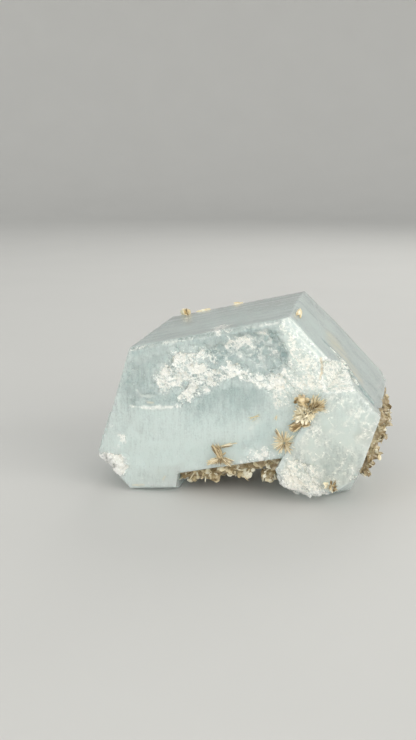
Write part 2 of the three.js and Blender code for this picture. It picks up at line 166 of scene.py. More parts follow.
def noiseOf(tree, place, size, detail=2.0, rough=0.5, stretch=(1, 1, 1)):  # noise of a size in mm
    scaled = put(tree, "ShaderNodeMapping", Vector=place, Scale=stretch).outputs[0]
    made = put(tree, "ShaderNodeTexNoise", Vector=scaled, Scale=1000 / size, Detail=detail, Roughness=rough)
    return made.outputs[0]


def leaningNoise(tree, place, lean, *rest):  # noise that can be stretched along a way that leans up from x
    turned = put(tree, "ShaderNodeMapping", Vector=place, Rotation=(0, lean, 0)).outputs[0]
    return noiseOf(tree, turned, *rest)


def arcsOf(tree, place, size, width):  # thin curved lines, where a smooth noise passes its middle
    off = sumOf(tree, "SUBTRACT", noiseOf(tree, place, size, 3.0, 0.55), 0.5)
    return rangeOf(tree, sumOf(tree, "ABSOLUTE", off, 0.0), 0.0, width, 1.0, 0.0)


berylLook = {
    "glass": (0.93, 0.965, 0.955),
    "milk": (0.825, 0.905, 0.88),
    "white": (0.895, 0.88, 0.835),
    # painted shade: the dark of the crystal's depth, seen through its clear parts
    "deep": (0.30, 0.42, 0.46),
    "mica": (0.58, 0.45, 0.27),
    "ior": 1.577,
    "absorbColour": (0.64, 0.88, 0.90),
    "absorbDensity": 13.0,  # per metre
    "scatterDepth": 0.003,  # metres
    "through": (0.95, 0.46),  # transmission where it is clear, and where it is milky
    "noises": {  # size in mm, detail, roughness and stretch
        "mottle": (6.0, 5.0, 0.62),  # cloudy patches
        "patch": (2.8, 4.0, 0.62),
        "streak": (0.9, 5.0, 0.7, (1.2, 0.6, 0.26)),  # fine upright streaks
        "grain": (0.45, 3.0, 0.65),  # sugary grain
        "flecks": (1.3, 4.0, 0.7),  # ragged patches of the frost
        "lines": (0.9, 3.0, 0.6, (0.05, 2.2, 0.05)),  # growth lines, square to the long axis
    },
    "strokes": (0.6, 4.0, 0.7, (0.28, 1.0, 1.0)),  # strokes of the frost, level and falling
    "strokeLeans": (0.15, -0.85),
    "faceSize": 0.45,  # mm, the tiny crystal faces in the frost
    "veilArcs": ((5.5, 0.06), (2.6, 0.055)),  # size in mm and width of the veils' thin curved lines
}


def berylMaterial():
    look = berylLook
    material, tree = newMaterial("beryl")
    add, times, most = (partial(sumOf, tree, kind) for kind in ("ADD", "MULTIPLY", "MAXIMUM"))
    span = partial(rangeOf, tree)
    place = put(tree, "ShaderNodeTexCoord").outputs["Object"]
    frost, chalk, clear, dark, milk, veil, tan = (
        put(tree, "ShaderNodeAttribute", {"attribute_name": name}).outputs["Fac"]
        for name in ("frost", "chalk", "clear", "dark", "milk", "veil", "tan"))
    mottle, patch, streak, grain, flecks, lines = (
        noiseOf(tree, place, *look["noises"][name])
        for name in ("mottle", "patch", "streak", "grain", "flecks", "lines"))
    level, falling = (leaningNoise(tree, place, lean, *look["strokes"]) for lean in look["strokeLeans"])
    cells = put(tree, "ShaderNodeTexVoronoi", Vector=place, Scale=1000 / look["faceSize"])
    parts = put(tree, "ShaderNodeSeparateColor", Color=cells.outputs["Color"]).outputs
    own, shine = parts[0], parts[1]  # two random numbers of each tiny face
    arcs = most(*(arcsOf(tree, place, size, width) for size, width in look["veilArcs"]))
    veils = times(arcs, span(patch, 0.36, 0.6, 0.15, 1.0))
    veils = times(veils, times(veil, span(grain, 0.3, 0.6, 0.4, 1.0)))

    # white where the frost is more than what the flecks, strokes and grain take from it
    pick = add(times(own, 0.14), span(flecks, 0.3, 0.7, 0.0, 0.3))
    pick = add(pick, span(most(level, falling), 0.38, 0.74, 0.0, 0.34))
    pick = add(pick, span(grain, 0.3, 0.7, 0.0, 0.22))
    white = span(sumOf(tree, "SUBTRACT", frost, pick), -0.15, 0.23)
    # painted sparkle: each tiny face of the frost is whiter or greyer as if it caught the light differently
    white = times(white, span(shine, 0.0, 1.0, 0.74, 1.0))
    # the chalk mask's whites, among them painted glints and highlights on steps and walls
    white = most(white, times(chalk, span(flecks, 0.3, 0.6, 0.5, 1.0)))
    white = most(white, times(veils, 0.72))
    # tiny white specks: small white inclusions, and painted sparkle
    specksAndGlints = times(span(own, 0.92, 0.97), span(cells.outputs["Distance"], 0.1, 0.4, 0.4, 0.0))
    white = most(white, specksAndGlints)

    # how cloudy the crystal is under its surface
    cloud = add(milk, span(mottle, 0.3, 0.7, -0.06, 0.06))
    cloud = add(cloud, span(patch, 0.3, 0.7, -0.05, 0.05))
    cloud = add(cloud, times(span(streak, 0.32, 0.7, -0.17, 0.17), span(veil, 0.0, 0.1, 0.2, 1.0)))
    cloud = add(cloud, span(grain, 0.3, 0.7, -0.1, 0.1))
    cloud = add(cloud, span(lines, 0.35, 0.7, -0.02, 0.03))
    cloud = times(cloud, span(clear, 0.0, 1.0, 1.0, 0.4), True)

    # painted shade: the deep tone in the clear parts, and in the dark mask's spots and lines
    shade = times(clear, span(patch, 0.42, 0.64, 0.0, 0.5))
    shade = most(shade, times(dark, span(flecks, 0.32, 0.6, 0.4, 1.0)))
    colour = blendOf(tree, cloud, look["glass"], look["milk"])
    for share, tone in ((shade, "deep"), (white, "white"), (tan, "mica")):
        colour = blendOf(tree, share, colour, look[tone])

    through = span(cloud, 0.0, 1.0, *look["through"])
    through = times(through, span(most(white, tan), 0.0, 1.0, 1.0, 0.12))
    rough = add(span(cloud, 0.0, 1.0, 0.03, 0.12), times(white, span(shine, 0.0, 1.0, 0.04, 0.32)))

    bump = put(tree, "ShaderNodeBump", Height=lines, Strength=0.04, Distance=0.0002)
    bump = put(tree, "ShaderNodeBump", Height=cells.outputs["Distance"], Distance=0.0003,
               Normal=bump.outputs[0], Strength=span(frost, 0.0, 1.0, 0.0, 0.5))
    bump = put(tree, "ShaderNodeBump", Height=grain, Distance=0.0003, Normal=bump.outputs[0],
               Strength=span(frost, 0.0, 1.0, 0.015, 0.5))

    shader = put(tree, "ShaderNodeBsdfPrincipled", Base_Color=colour, Roughness=rough, IOR=look["ior"],
                 Transmission_Weight=through, Normal=bump.outputs[0], Subsurface_Weight=1.0,
                 Subsurface_Radius=(1.0, 1.0, 1.0), Subsurface_Scale=look["scatterDepth"])
    absorb = put(tree, "ShaderNodeVolumeAbsorption", Color=(*look["absorbColour"], 1),
                 Density=look["absorbDensity"])
    put(tree, "ShaderNodeOutputMaterial", Surface=shader.outputs[0], Volume=absorb.outputs[0])
    return material


# the beryl: the CAD solid's own faces, cut fine and given their etching, growth steps and broken grain
berylShape = {
    "roughEdge": 0.27,  # longest edges, in mm: in the etched parts of the front, on the rest of it, and elsewhere
    "frontEdge": 0.45,
    "sideEdge": 0.62,
    "rightBearing": math.radians(31.2),  # the upper right prism face
    "rightDistance": 23.1,
    "rightTop": -5.42,  # its upper edge, measured down the face
    "smallFace": 14.0,  # mm2, below which a face is a broken one
    "sharpAngle": math.radians(34),
    "grainSizes": (1.9, 0.85),  # mm, the coarse and the fine broken grains
    "growth": {"count": 19, "first": 1.5, "last": 35.5, "astray": 0.9, "heights": (0.015, 0.05)},  # steps along y
    "nick": (0.05, 0.2),  # mm that the edges lose all along, and in their chips
    "milky": {"right": 0.8, "prism": 0.68, "front": 0.84},  # how cloudy the faces are, from 0 to 1
    # outlines and lines on the front face, in x and z, unless a note says otherwise
    "hollow": [(-12, 14.4), (-4, 14.6), (5.1, 15), (11.9, 14.8), (13.5, 13.8), (14.7, 11.2), (14.6, 6.2),
               (11, 3.7), (7.9, 3.1), (2.9, 4.2), (0.4, 5.5), (-1.3, 4.4), (-5.7, 3.2), (-8.5, 1.7),
               (-12.5, 0.4), (-18.5, 1.2), (-24.5, 2.6), (-26, 8.4), (-22.6, 13.2), (-16.3, 14)],
    "hollowStep": [(-10.5, 12.8), (-2, 13.4), (5.1, 14.5), (11.6, 14.3), (13.2, 12.8), (13.9, 9), (13, 5.8),
                   (9, 4.8), (4.5, 6.4), (0.2, 7.2), (-4.5, 6.2), (-9.8, 4.2), (-17.2, 4), (-18.6, 7.2), (-15, 11)],
    "hollowWindow": [(4.9, 15.4), (12.4, 15.2), (14.4, 14), (15.2, 10.2), (15.3, 6.2), (14, 5.2), (10.3, 4.7),
                     (7.1, 7.1), (5.3, 8.7), (2.7, 9.7), (0.7, 8.8), (-2.2, 8.6), (-5.4, 9.1), (-5.5, 12.1),
                     (-3.4, 13.9), (1, 13.8), (2.5, 15.1)],
    "depths": (0.22, 0.3, 0.45),  # mm, of the hollow, its step and its window
    "whiteCrust": [(-11, 14), (-8, 14), (-4, 12.6), (-4.5, 8), (-9, 6.4), (-12, 4.6), (-16, 5.4), (-17, 8.4),
                   (-15.3, 10.5), (-11.5, 12.2)],
    "jaggedBand": [(-12, 5), (-8, 6.6), (-3, 8), (1.4, 9), (5.7, 5.6), (9, 4.4), (12.6, 5), (14.4, 6), (13, 1),
                   (9.3, 0.4), (6.6, 2.6), (1.3, 5.6), (-3.7, 4.2), (-8, 2.4), (-13, 0.2)],
    "sugar": [(13.6, 16), (17.4, 16), (22.4, 6.5), (22.6, -2), (16.2, -1.4), (13.3, -4.4), (9, -3.6), (9.4, 0.3),
              (12.4, 3.4), (14.4, 5.8), (14.5, 10)],
    "ledge": [(21.4, 6.2), (23.5, 6.4), (27.4, 4.5), (29, -2.4), (21.6, -1.7)],
    "brokenLeft": [(-35, -8), (-28.6, -8.2), (-28.4, -12), (-29.4, -14), (-34, -14)],
    "brokenFoot": [(7, -18.3), (9.6, -15.4), (12.8, -15), (15.6, -16), (16, -18.5), (14.6, -20.7), (17, -21.9),
                   (17.6, -26), (7, -26)],
    "underFrost": [(-0.5, -12.9), (3, -11), (6.5, -12), (8, -14.5), (8, -16), (-3.4, -16)],
    # painted shade: the dark below the jagged band, fading downwards
    "underBandShadePatch": [(-14, -2), (-10.6, 1.7), (-6.6, 3.6), (-3.8, 4.3), (-1.4, 4.6), (1.1, 5.5), (4, 3.9), (7.3, 2),
                 (9.4, 0.2), (10.5, -10), (-14, -10)],
    # painted shade: dark spots in the glassy window, and the shadows under the hollow's top and right walls
    "shadeSpots": [
        [(-4.8, 11.4), (-3.3, 11.6), (-1.2, 11.7), (-0.1, 10.6), (-0.8, 9.4), (-2.8, 8.8), (-4.6, 9.3)],
        [(8.2, 12.8), (9.7, 13.4), (10.3, 11.9), (9.4, 9.8), (8.2, 9.8)],
        [(5.2, 15.6), (8.8, 15.5), (12.5, 15), (13.5, 14.3), (10.4, 14.4), (5.9, 14.6)],
        [(14.2, 13.3), (14.5, 11.2), (14.4, 6.7), (13.5, 6.8), (13.6, 10.4)],
        [(0.8, 12.3), (3.5, 12.3), (4, 10.3), (2, 9.5), (0.6, 10.5)],
    ],
    "rimFrost": [(-2, 17.8), (3.8, 17.8), (3.2, 15.6), (0.5, 15.2)],
    "leftFrost": [(-30.8, -0.5), (-28.2, -1.4), (-26.3, -4.8), (-27.5, -8.2), (-32.4, -8.9), (-34.5, -7.1),
                  (-33.3, -3.7)],
    "stubFrost": [(-28.2, -13.9), (-24.7, -13.9), (-21.7, -15.2), (-19.2, -16.6), (-20.2, -18), (-26.6, -17.4),
                  (-28.9, -16.5)],
    "sidePanel": [(-3.2, -10.5), (0.8, -8.1), (2.8, -6.5), (5.9, -4.9), (8.4, -2.6), (9.5, -8), (6, -12),
                  (-1.5, -13.5)],
    "dashes": [[(-20, 3), (-18.8, 2.7)], [(-28.5, -16.4), (-26, -16.8)], [(-20.8, -16.6), (-20, -15.4)]],
    "sideFace": [(21.6, -1.7), (29, -2.4), (33.4, -8.6), (26, -23), (9, -24), (8, -18), (12, -12.8), (17, -8.4)],
    # painted highlight: a bright line where a low step of the hollow faces up into the light
    "litStepLine": [(-24.5, 2.9), (-19.8, 1.7), (-14.2, 0.9), (-13.1, 1.4)],
    "bentStep": [(-21.9, 6.4), (-21.3, 4.9), (-18.8, 4.1), (-17, 4.4), (-15.6, 6.1), (-13.5, 7.8)],
    "topPatch": [(-3.6, -0.5), (-3, 6.8), (-0.7, 8.4), (2.6, 6.6), (4, -0.5)],  # x and y on the top face
    "streak": [(19, 7.6), (16, 5), (11.5, 1.2), (8.5, -1.6)],  # y and z on the right face
    "layerRim": [(9.7, 11), (17, 11), (21, 5.5), (27.5, 3.6)],  # down the right face, and y
    "seam": [(-0.3, -9.2), (1.2, -8.0), (2.5, -7.3), (4.1, -6.2), (5.8, -5.0), (7.5, -3.2), (8.8, -1.5), (9.7, 0.6)],
    "stalk": [(-15.3, 33), (-13.4, 26), (-12.8, 22.5)],  # x and y on the top face
    "sliver": [(22.1, 6.2), (21.9, 4.4), (21.4, 2.6), (21, 1.8)],
}


def cutFine(bm, longest):  # splits edges until none is longer
    for again in range(10):
        longEdges = [e for e in bm.edges if e.calc_length() > longest]
        if not longEdges:
            break
        bmesh.ops.subdivide_edges(bm, edges=longEdges, cuts=1)
        bmesh.ops.triangulate(bm, faces=[f for f in bm.faces if len(f.verts) > 3])


def inRough(x, z):  # the etched hollow, the sugary zone right of it, and the broken corners
    return (z > -0.5 - 0.08 * x) & (x > -27) | (z < -15) & (x > 6) | (x < -27) & (z < -7)


def berylFaces():  # the solid in mm on its own axes, its stepped hollow filled level again, as few large faces
    shape = berylShape
    bm = bmesh.new()
    bm.from_mesh(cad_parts["aquamarine"].data)
    bmesh.ops.transform(bm, matrix=toCrystal, verts=bm.verts)
    bmesh.ops.remove_doubles(bm, verts=bm.verts, dist=0.004)
    spots = np.array([f.calc_center_median() for f in bm.faces])
    within = (insideOf(spots[:, [0, 2]], shape["hollow"]) > -0.03) & (spots[:, 1] > 0.02) & (spots[:, 1] < 1.6)
    bmesh.ops.delete(bm, geom=[f for f, there in zip(bm.faces, within) if there], context="FACES")
    bmesh.ops.holes_fill(bm, edges=[e for e in bm.edges if e.is_boundary], sides=0)
    bmesh.ops.dissolve_limit(bm, angle_limit=math.radians(0.4), verts=bm.verts, edges=bm.edges)
    bmesh.ops.recalc_face_normals(bm, faces=bm.faces)
    return bm


def edgeLength(x, y, z):  # how fine the mesh is, from place to place
    shape = berylShape
    fine = np.where(inRough(x, z), shape["roughEdge"], shape["frontEdge"])
    return np.where(y > 2.6, shape["sideEdge"], fine)


def evenPoints(flat, toSpace):  # points spread evenly inside an outline, as close together as the place asks
    inner = np.zeros((0, 2))
    low, high = flat.min(0), flat.max(0)
    spacings = sorted({berylShape[key] for key in ("roughEdge", "frontEdge", "sideEdge")})
    for spacing in spacings:
        rows = np.arange(low[1] + spacing / 2, high[1], spacing * 0.866)
        along = np.arange(low[0], high[0] + spacing, spacing)
        grid = np.array([(x + spacing / 2 * (k % 2), y) for k, y in enumerate(rows) for x in along]).reshape(-1, 2)
        if len(grid):
            wanted = np.isclose(edgeLength(*toSpace(grid).T), spacing)
            grid = grid[wanted]
            inner = np.vstack([inner, grid[insideOf(grid, flat) > 0.6 * spacing]])
    return inner


def fineMesh(bm):  # each face filled with even triangles
    shape = berylShape
    for e in list(bm.edges):
        middle = (e.verts[0].co + e.verts[1].co) / 2
        cuts = math.ceil(e.calc_length() / float(edgeLength(*middle))) - 1
        if cuts > 0:
            bmesh.ops.bisect_edges(bm, edges=[e], cuts=cuts)
    bm.verts.index_update()
    co = [v.co.copy() for v in bm.verts]
    tris, broken = [], []
    right = Vector((math.cos(shape["rightBearing"]), 0, math.sin(shape["rightBearing"])))
    for f in bm.faces:
        middle = f.calc_center_median()
        onLayer = abs(middle.dot(right) - shape["rightDistance"]) < 0.7 and middle.y > 3
        rough = f.calc_area() < shape["smallFace"] and not onLayer
        across = f.normal.orthogonal().normalized()
        upward = f.normal.cross(across)
        start = f.verts[0].co.copy()
        rim = [v.index for v in f.verts]
        flat = np.array([((v.co - start).dot(across), (v.co - start).dot(upward)) for v in f.verts])
        toSpace = lambda q: np.array(start) + q[:, :1] * np.array(across) + q[:, 1:] * np.array(upward)
        inner = evenPoints(flat, toSpace)
        count = len(rim)
        loop = [(k, (k + 1) % count) for k in range(count)]
        spots = [Vector(q) for q in np.vstack([flat, inner])]
        _, _, made, origin, _, _ = delaunay_2d_cdt(spots, loop, [], 1, 1e-7)
        names = rim + list(range(len(co), len(co) + len(inner)))
        co.extend(Vector(q) for q in toSpace(inner))
        for t in made:
            tris.append([names[origin[k][0]] for k in t])
            broken.append(1.0 if rough else 0.0)
    return np.array(co), np.array(tris), np.array(broken)


def vertexNormals(co, tris):  # of each vertex: its mean normal, and 1 where all its faces are level
    cross = np.cross(co[tris[:, 1]] - co[tris[:, 0]], co[tris[:, 2]] - co[tris[:, 0]])
    area = np.linalg.norm(cross, axis=1)
    total, weight = np.zeros_like(co), np.zeros(len(co))
    for k in range(3):
        np.add.at(total, tris[:, k], cross)
        np.add.at(weight, tris[:, k], area)
    length = np.linalg.norm(total, axis=1)
    return total / np.maximum(length, 1e-12)[:, None], length / np.maximum(weight, 1e-12)


def linksOf(tris):  # both ways along every edge
    pairs = np.vstack([tris[:, [0, 1]], tris[:, [1, 2]], tris[:, [2, 0]]])
    return np.unique(np.vstack([pairs, pairs[:, ::-1]]), axis=0)


def towardsNeighbours(co, links, share):  # moves each point by a share of the way to the mean of its neighbours
    sums, counts = np.zeros_like(co), np.zeros(len(co))
    np.add.at(sums, links[:, 0], co[links[:, 1]])
    np.add.at(counts, links[:, 0], 1)
    return co + np.asarray(share).reshape(-1, 1) * (sums / counts[:, None] - co)


def growthSteps(deep, wobble):  # low steps across the prism faces, from front to back
    growth = berylShape["growth"]
    dice = np.random.default_rng(5)
    height = np.zeros(len(deep))
    places = np.linspace(growth["first"], growth["last"], growth["count"])
    for at in places + dice.uniform(-growth["astray"], growth["astray"], growth["count"]):
        height += dice.choice([-1, 1]) * dice.uniform(*growth["heights"]) * ramp(deep + wobble, at - 0.2, at + 0.25)
    return height - height.mean()


def berylRelief(co, tris, broken):  # the moved vertices, and the masks that the material reads
    shape = berylShape
    links = linksOf(tris)
    normal, level = vertexNormals(co, tris)
    flatPart = level > 0.9999
    for again in range(6):  # evens out the triangles inside each face
        co = towardsNeighbours(co, links, 0.5 * flatPart)
    outward = np.array([math.cos(shape["rightBearing"]), 0, math.sin(shape["rightBearing"])])
    proud = co @ outward - shape["rightDistance"]
    down = co @ np.array([outward[2], 0, -outward[0]]) - shape["rightTop"]
    inLayer = down - np.interp(co[:, 1], [11, 37], [9.7, 1.6])
    onLayer = (proud > 0.1) & (proud < 0.6) & (co[:, 1] > 3)
    co -= outward * np.where(onLayer, (proud - 0.03) * (1 - ramp(inLayer, 0.2, 9)), 0)[:, None]
    x, y, z = co.T
    flat = co[:, [0, 2]]
    onFront = flatPart & (normal[:, 1] < -0.97) & (y < 0.2)
    upward = np.array([math.sin(crystalAxes["lean"]), 0, math.cos(crystalAxes["lean"])])
    onGround = normal @ -upward > 0.98
    nearFront = 1 - ramp(y, 1.2, 3.2)
    facing = nearFront * ramp(-normal[:, 1], 0.25, 0.7)

    coarse, coarseTone, coarseHeight = grainsAt(co, shape["grainSizes"][0], 1)
    fine, fineTone, fineHeight = grainsAt(co, shape["grainSizes"][1], 2)
    facets = coarseHeight + 0.8 * fineHeight
    wave = noiseAt(co, 3.2, 3)
    ripple = noiseAt(co, 1.1, 4)
    slow = noiseAt(co, 8.0, 5)
    # places on the front face shifted by the grains, by waves, or a little, so that outlines come out ragged
    jag = flat + 0.55 * (coarse - co)[:, [0, 2]] + 0.5 * (fine - co)[:, [0, 2]]
    jag = jag + 0.35 * np.column_stack([wave, ripple])
    soft = flat + 0.7 * np.column_stack([wave, ripple]) + 0.25 * (fine - co)[:, [0, 2]]
    keen = 0.6 * flat + 0.4 * jag

    def zone(name, low, high, where=jag):  # 1 inside an outline, 0 outside, with a ragged border
        return ramp(insideOf(where, shape[name]), low, high)

    def line(path, width, fade, where):  # 1 along a path
        return ramp(width - awayFrom(where, path), 0.0, fade)

    hollow = insideOf(soft, shape["hollow"])
    step = insideOf(soft, shape["hollowStep"])
    window = insideOf(0.5 * jag + 0.5 * soft, shape["hollowWindow"])
    crust = zone("whiteCrust", -2.6, 1.6) * nearFront
    band = zone("jaggedBand", -1.3, 1.0) * nearFront
    sugar = zone("sugar", -1.4, 1.2) * nearFront
    under = zone("underFrost", -1.4, 1.2) * nearFront
    brokenLeft = zone("brokenLeft", -0.9, 0.9) * (1 - ramp(y, 3, 5))
    brokenFoot = zone("brokenFoot", -1.2, 0.9) * (1 - ramp(y, 4, 7))
    right = normal @ outward > 0.97
    ledge = zone("ledge", -0.6, 0.3, flat) * (y < 11.5) * ~right * (1 - 0.6 * (onFront & (x < 22)))
    brokenAll = np.maximum.reduce([broken * (1 - ledge), brokenLeft, brokenFoot])

    depth = shape["depths"][0] * ramp(hollow, -0.4, 2.0) + shape["depths"][1] * ramp(step, -0.1, 0.9)
    depth += shape["depths"][2] * ramp(window, -0.1, 1.3)
    depth += 0.16 * ramp(1.1 - awayFrom(soft, shape["bentStep"]), 0.2, 1.0)
    rough = np.maximum.reduce([0.9 * crust, 1.0 * band, 0.35 * sugar, 0.22 * ramp(window, 0, 2), 0.5 * under,
                               0.9 * brokenLeft, 0.8 * brokenFoot, 0.12 * ramp(hollow, 0, 1)])
    depth += rough * (facets + 0.06 * ripple)
    depth += 0.05 * slow + 0.012 * ripple
    co[:, 1] += np.where(onFront, np.maximum(depth, -0.12), 0)

    prism = flatPart & (np.abs(normal[:, 1]) < 0.06) & ~onGround & (broken < 0.5)
    steps = growthSteps(y, 0.5 * noiseAt(co * np.array([0.25, 1, 0.25]), 3.0, 6) + 0.25 * wave)
    back = flatPart & (normal[:, 1] > 0.97)
    terraces = 0.16 * np.floor(3 * noiseAt(co * np.array([0.7, 0.2, 1]), 7.0, 7) + 0.4 * ripple)
    steps *= np.where(right, 0.1, 1.0)
    lift = np.where(prism, steps + 0.02 * wave, 0) + np.where(back, terraces / 3 + 0.04 * wave, 0)
    ridges = noiseAt(co * np.array([0.3, 1.6, 1.6]), 1.0, 12)  # streaks across the ledge
    for share, height in ((brokenAll, facets - 0.12),
                          (brokenLeft + 0.5 * brokenFoot, 1.1 * coarseHeight - 0.12),
                          (ledge, 0.5 * fineHeight + 0.12 * ridges)):
        lift += np.where(onFront, 0, share * height)
    sideFace = flatPart & ~onFront & ~prism & ~back & ~onGround & (normal[:, 1] < -0.5) & (broken < 0.5)
    lift += np.where(sideFace, 0.10 * wave + 0.06 * slow, 0)
    lift = np.where(onGround, 0, lift)
    nearLayer = (proud > -0.15) & (proud < 0.65) & (y > 3) & (down > 1.0) & (down < 28)
    edge = (level < 0.985) & ~nearLayer
    bevel = (normal[:, 1] < -0.6) & (normal[:, 1] > -0.95) & (x + 0.62 * z > 19) & (z > 0) & ~nearLayer
    bevelLines = ramp(noiseAt(np.column_stack([0.06 * down, 1.2 * y, 1.2 * proud]), 0.7, 11), -0.05, 0.35)
    lift -= 0.12 * bevel * bevelLines
    nick = shape["nick"][0] + shape["nick"][1] * ramp(noiseAt(co, 1.3, 8) + 0.5 * noiseAt(co, 4.0, 9), 0.15, 0.7)
    lift -= np.where(edge & ~onGround, nick, 0)
    co = co + normal * lift[:, None]
    co = towardsNeighbours(co, links, np.where(edge, 0.35, 0.0))  # rounds the edges a little

    # masks, from 0 to 1
    bent, _ = vertexNormals(co, tris)
    steep = ramp(1 - np.einsum("ij,ij->i", bent, normal), 0.05, 0.28) * (level > 0.985)
    inHollow = ramp(hollow, -0.6, 0.3) * nearFront
    topEdge = (normal[:, 1] < -0.2) & (normal[:, 1] > -0.97) & (z > 14.5) & (x < 16)
    topLines = ramp(noiseAt(co * np.array([0.05, 1.3, 1.3]), 0.8, 13), 0.0, 0.4)
    onTop = normal[:, 2] > 0.97
    topPatch = onTop * zone("topPatch", -1, 1, np.column_stack([jag[:, 0], co[:, 1]]))
    stalk = onTop * line(shape["stalk"], 1.5, 1.4, co[:, :2] + 0.8 * np.column_stack([ripple, wave]))
    seam = line(shape["seam"], 0.5, 0.4, 0.5 * flat + 0.5 * jag) * nearFront
    upper = np.maximum(ramp(hollow, -2.5, 2.0), ramp(z + 0.1 * x, 9.5, 14.5) * (x < 15)) * facing
    patchy = ramp(noiseAt(co, 3.4, 15), -0.45, 0.35)
    inWindow = ramp(window, -0.7, 0.9) * nearFront
    frost = np.maximum.reduce([
        (0.56 + 0.18 * patchy) * crust,
        (0.54 + 0.14 * patchy) * band,
        (0.42 + 0.12 * patchy) * sugar * (1 - 0.35 * bevel),
        0.56 * ledge,
        0.9 * brokenLeft,
        (0.4 + 0.28 * patchy) * brokenFoot,
        0.5 * nearFront * zone("rimFrost", -1, 1),
        (0.16 + 0.2 * patchy) * nearFront * zone("leftFrost", -1.5, 1.5),
        (0.16 + 0.2 * patchy) * nearFront * zone("stubFrost", -1.0, 1.2),
        0.46 * under,
        0.3 * brokenAll,
        0.2 * upper,
        0.55 * topPatch,
        0.5 * stalk,
        (0.08 + 0.52 * patchy + 0.12 * ramp(-x, -5, 0)) * inWindow,
    ])
    frost += 0.2 * (coarseTone - 0.5) * ramp(frost, 0.05, 0.3)
    # the chalk mask: white striations on the bevel, streaks along the top edge, the seam, white broken walls with
    # painted glints, and painted highlights along two steps
    chalk = np.maximum.reduce([
        0.5 * bevel * bevelLines,
        0.22 * topEdge * topLines,
        0.5 * seam * ramp(wave + ripple, -0.6, 0.3),
        # steep walls in the hollow and the broken parts: their white broken grain, with painted glints
        0.5 * steep * np.maximum(0.6 * inHollow, brokenAll) * (0.4 + 0.6 * fineTone),
        # painted highlights along the bent step and the low step, where they face up into the light
        0.5 * line(shape["bentStep"], 0.4, 0.3, keen) * nearFront,
        0.85 * line(shape["litStepLine"], 0.5, 0.3, keen) * nearFront,
    ])
    chalk = towardsNeighbours(chalk.reshape(-1, 1), links, 0.5).ravel()
    # painted shade below the jagged band: less milky and deep-toned, strongest next to the band and fading downwards
    underBandShade = zone("underBandShadePatch", -1.2, 3.0) * ramp(z + 0.12 * x, -8.5, 3.5) * nearFront
    # painted shade spots in the window and along the hollow's top and right walls; they also take frost away
    spots = np.maximum.reduce([ramp(insideOf(jag, spot), -0.7, 0.7) for spot in shape["shadeSpots"]])
    spots *= (0.46 + 0.26 * ramp(x, 0, 3)) * nearFront
    frost = frost * (1 - 0.4 * spots)
    # painted shadow: a dark line along the rim of the proud layer on the right face
    onRim = nearLayer * line(shape["layerRim"], 0.75, 0.4, np.column_stack([down, y]))
    # the dark mask: painted shade spots, the painted shadow line along the layer's rim, and dark-grey striations on
    # the bevel
    dark = np.maximum.reduce([spots, 0.9 * onRim, 0.4 * bevel * (1 - bevelLines)])

    side = sideFace | (nearFront > 0.5) & (insideOf(flat, shape["sideFace"]) > 0)
    upperRight = ramp(x + 0.5 * z, 13, 24)
    haze = 0.1 * sugar + 0.14 * ledge - 0.1 * crust
    milky = shape["milky"]
    # the milk drops under the jagged band, where shade is painted
    milk = (np.where(prism, np.where(right, milky["right"], milky["prism"]), milky["front"]) + np.where(side, 0.06, 0)
            - 0.26 * underBandShade - 0.06 * inHollow + 0.08 * slow + haze)
    milk += np.where(side, 0.42 * noiseAt(co, 4.6, 16) - 0.2 + 0.26 * upperRight, 0)
    milk += facing * (0.1 * ramp(-z, 4, 14) - 0.1 * ramp(z + 0.1 * x, -7, 1))
    milk += inWindow * 0.5 * noiseAt(co, 2.4, 14)
    for closeness, amount in ((0.15, 0.2), (0.45, 0.1)):  # bands down the right face
        milk += right * amount * noiseAt(np.column_stack([0.06 * down, closeness * y, 0 * y]), 1.0, 17)
    panel = facing * zone("sidePanel", -0.4, 2.5, 0.7 * flat + 0.3 * jag)
    # clear: the glassy parts, less milky and given the painted deep shade in the material
    clear = np.maximum.reduce([0.95 * inWindow, 0.6 * upper, 0.58 * underBandShade, 0.4 * panel]) * (1 - 0.6 * crust)

    squeeze = 0.25  # the stain is drawn out along y
    smear = np.column_stack([squeeze * y + 0.3 * wave + 0.15 * ripple, z + 1.2 * slow])
    streak = line([(squeeze * a, b) for a, b in shape["streak"]], 2.0, 1.7, smear)
    stain = ramp(noiseAt(np.column_stack([0.14 * down, 0.7 * y, 0 * y]), 1.0, 19) + 0.4 * ripple, -0.4, 0.3)
    bow = flat + 0.3 * np.column_stack([ripple, 0 * ripple])
    height = x * upward[0] + z * upward[2] + crystalAxes["middle"][2]  # above the ground
    tan = np.maximum.reduce([
        right * streak * (0.1 + 0.32 * stain + 0.1 * patchy),
        0.7 * nearFront * line(shape["sliver"], 0.34, 0.22, bow),
        # the painted shadow line along the layer's rim, a little tan
        0.12 * onRim,
        0.06 * np.maximum(sugar, ledge),
        np.where(side, 0.11 + 0.05 * ramp(-z, 8, 20) - 0.05 * upperRight, 0),
        0.45 * (x > 8) * (y < 6) * ramp(1.6 - height + 0.9 * wave, 0.0, 1.2),  # the rim of the foot
        *(0.55 * nearFront * line(dash, 0.3, 0.2, bow) for dash in shape["dashes"]),
    ])
    veil = np.maximum.reduce([side * 1.0, inWindow, brokenFoot, 0.35 * upper, 0.1 * facing])
    return co, {"frost": np.clip(frost, 0, 1), "chalk": chalk, "clear": clear, "dark": dark,
                "milk": np.clip(milk, 0, 1), "tan": tan, "veil": veil}


def openEdges(tris):  # edges that don't have one face on each side
    pairs = np.sort(np.vstack([tris[:, [0, 1]], tris[:, [1, 2]], tris[:, [2, 0]]]), axis=1)
    return int((np.unique(pairs, axis=0, return_counts=True)[1] != 2).sum())


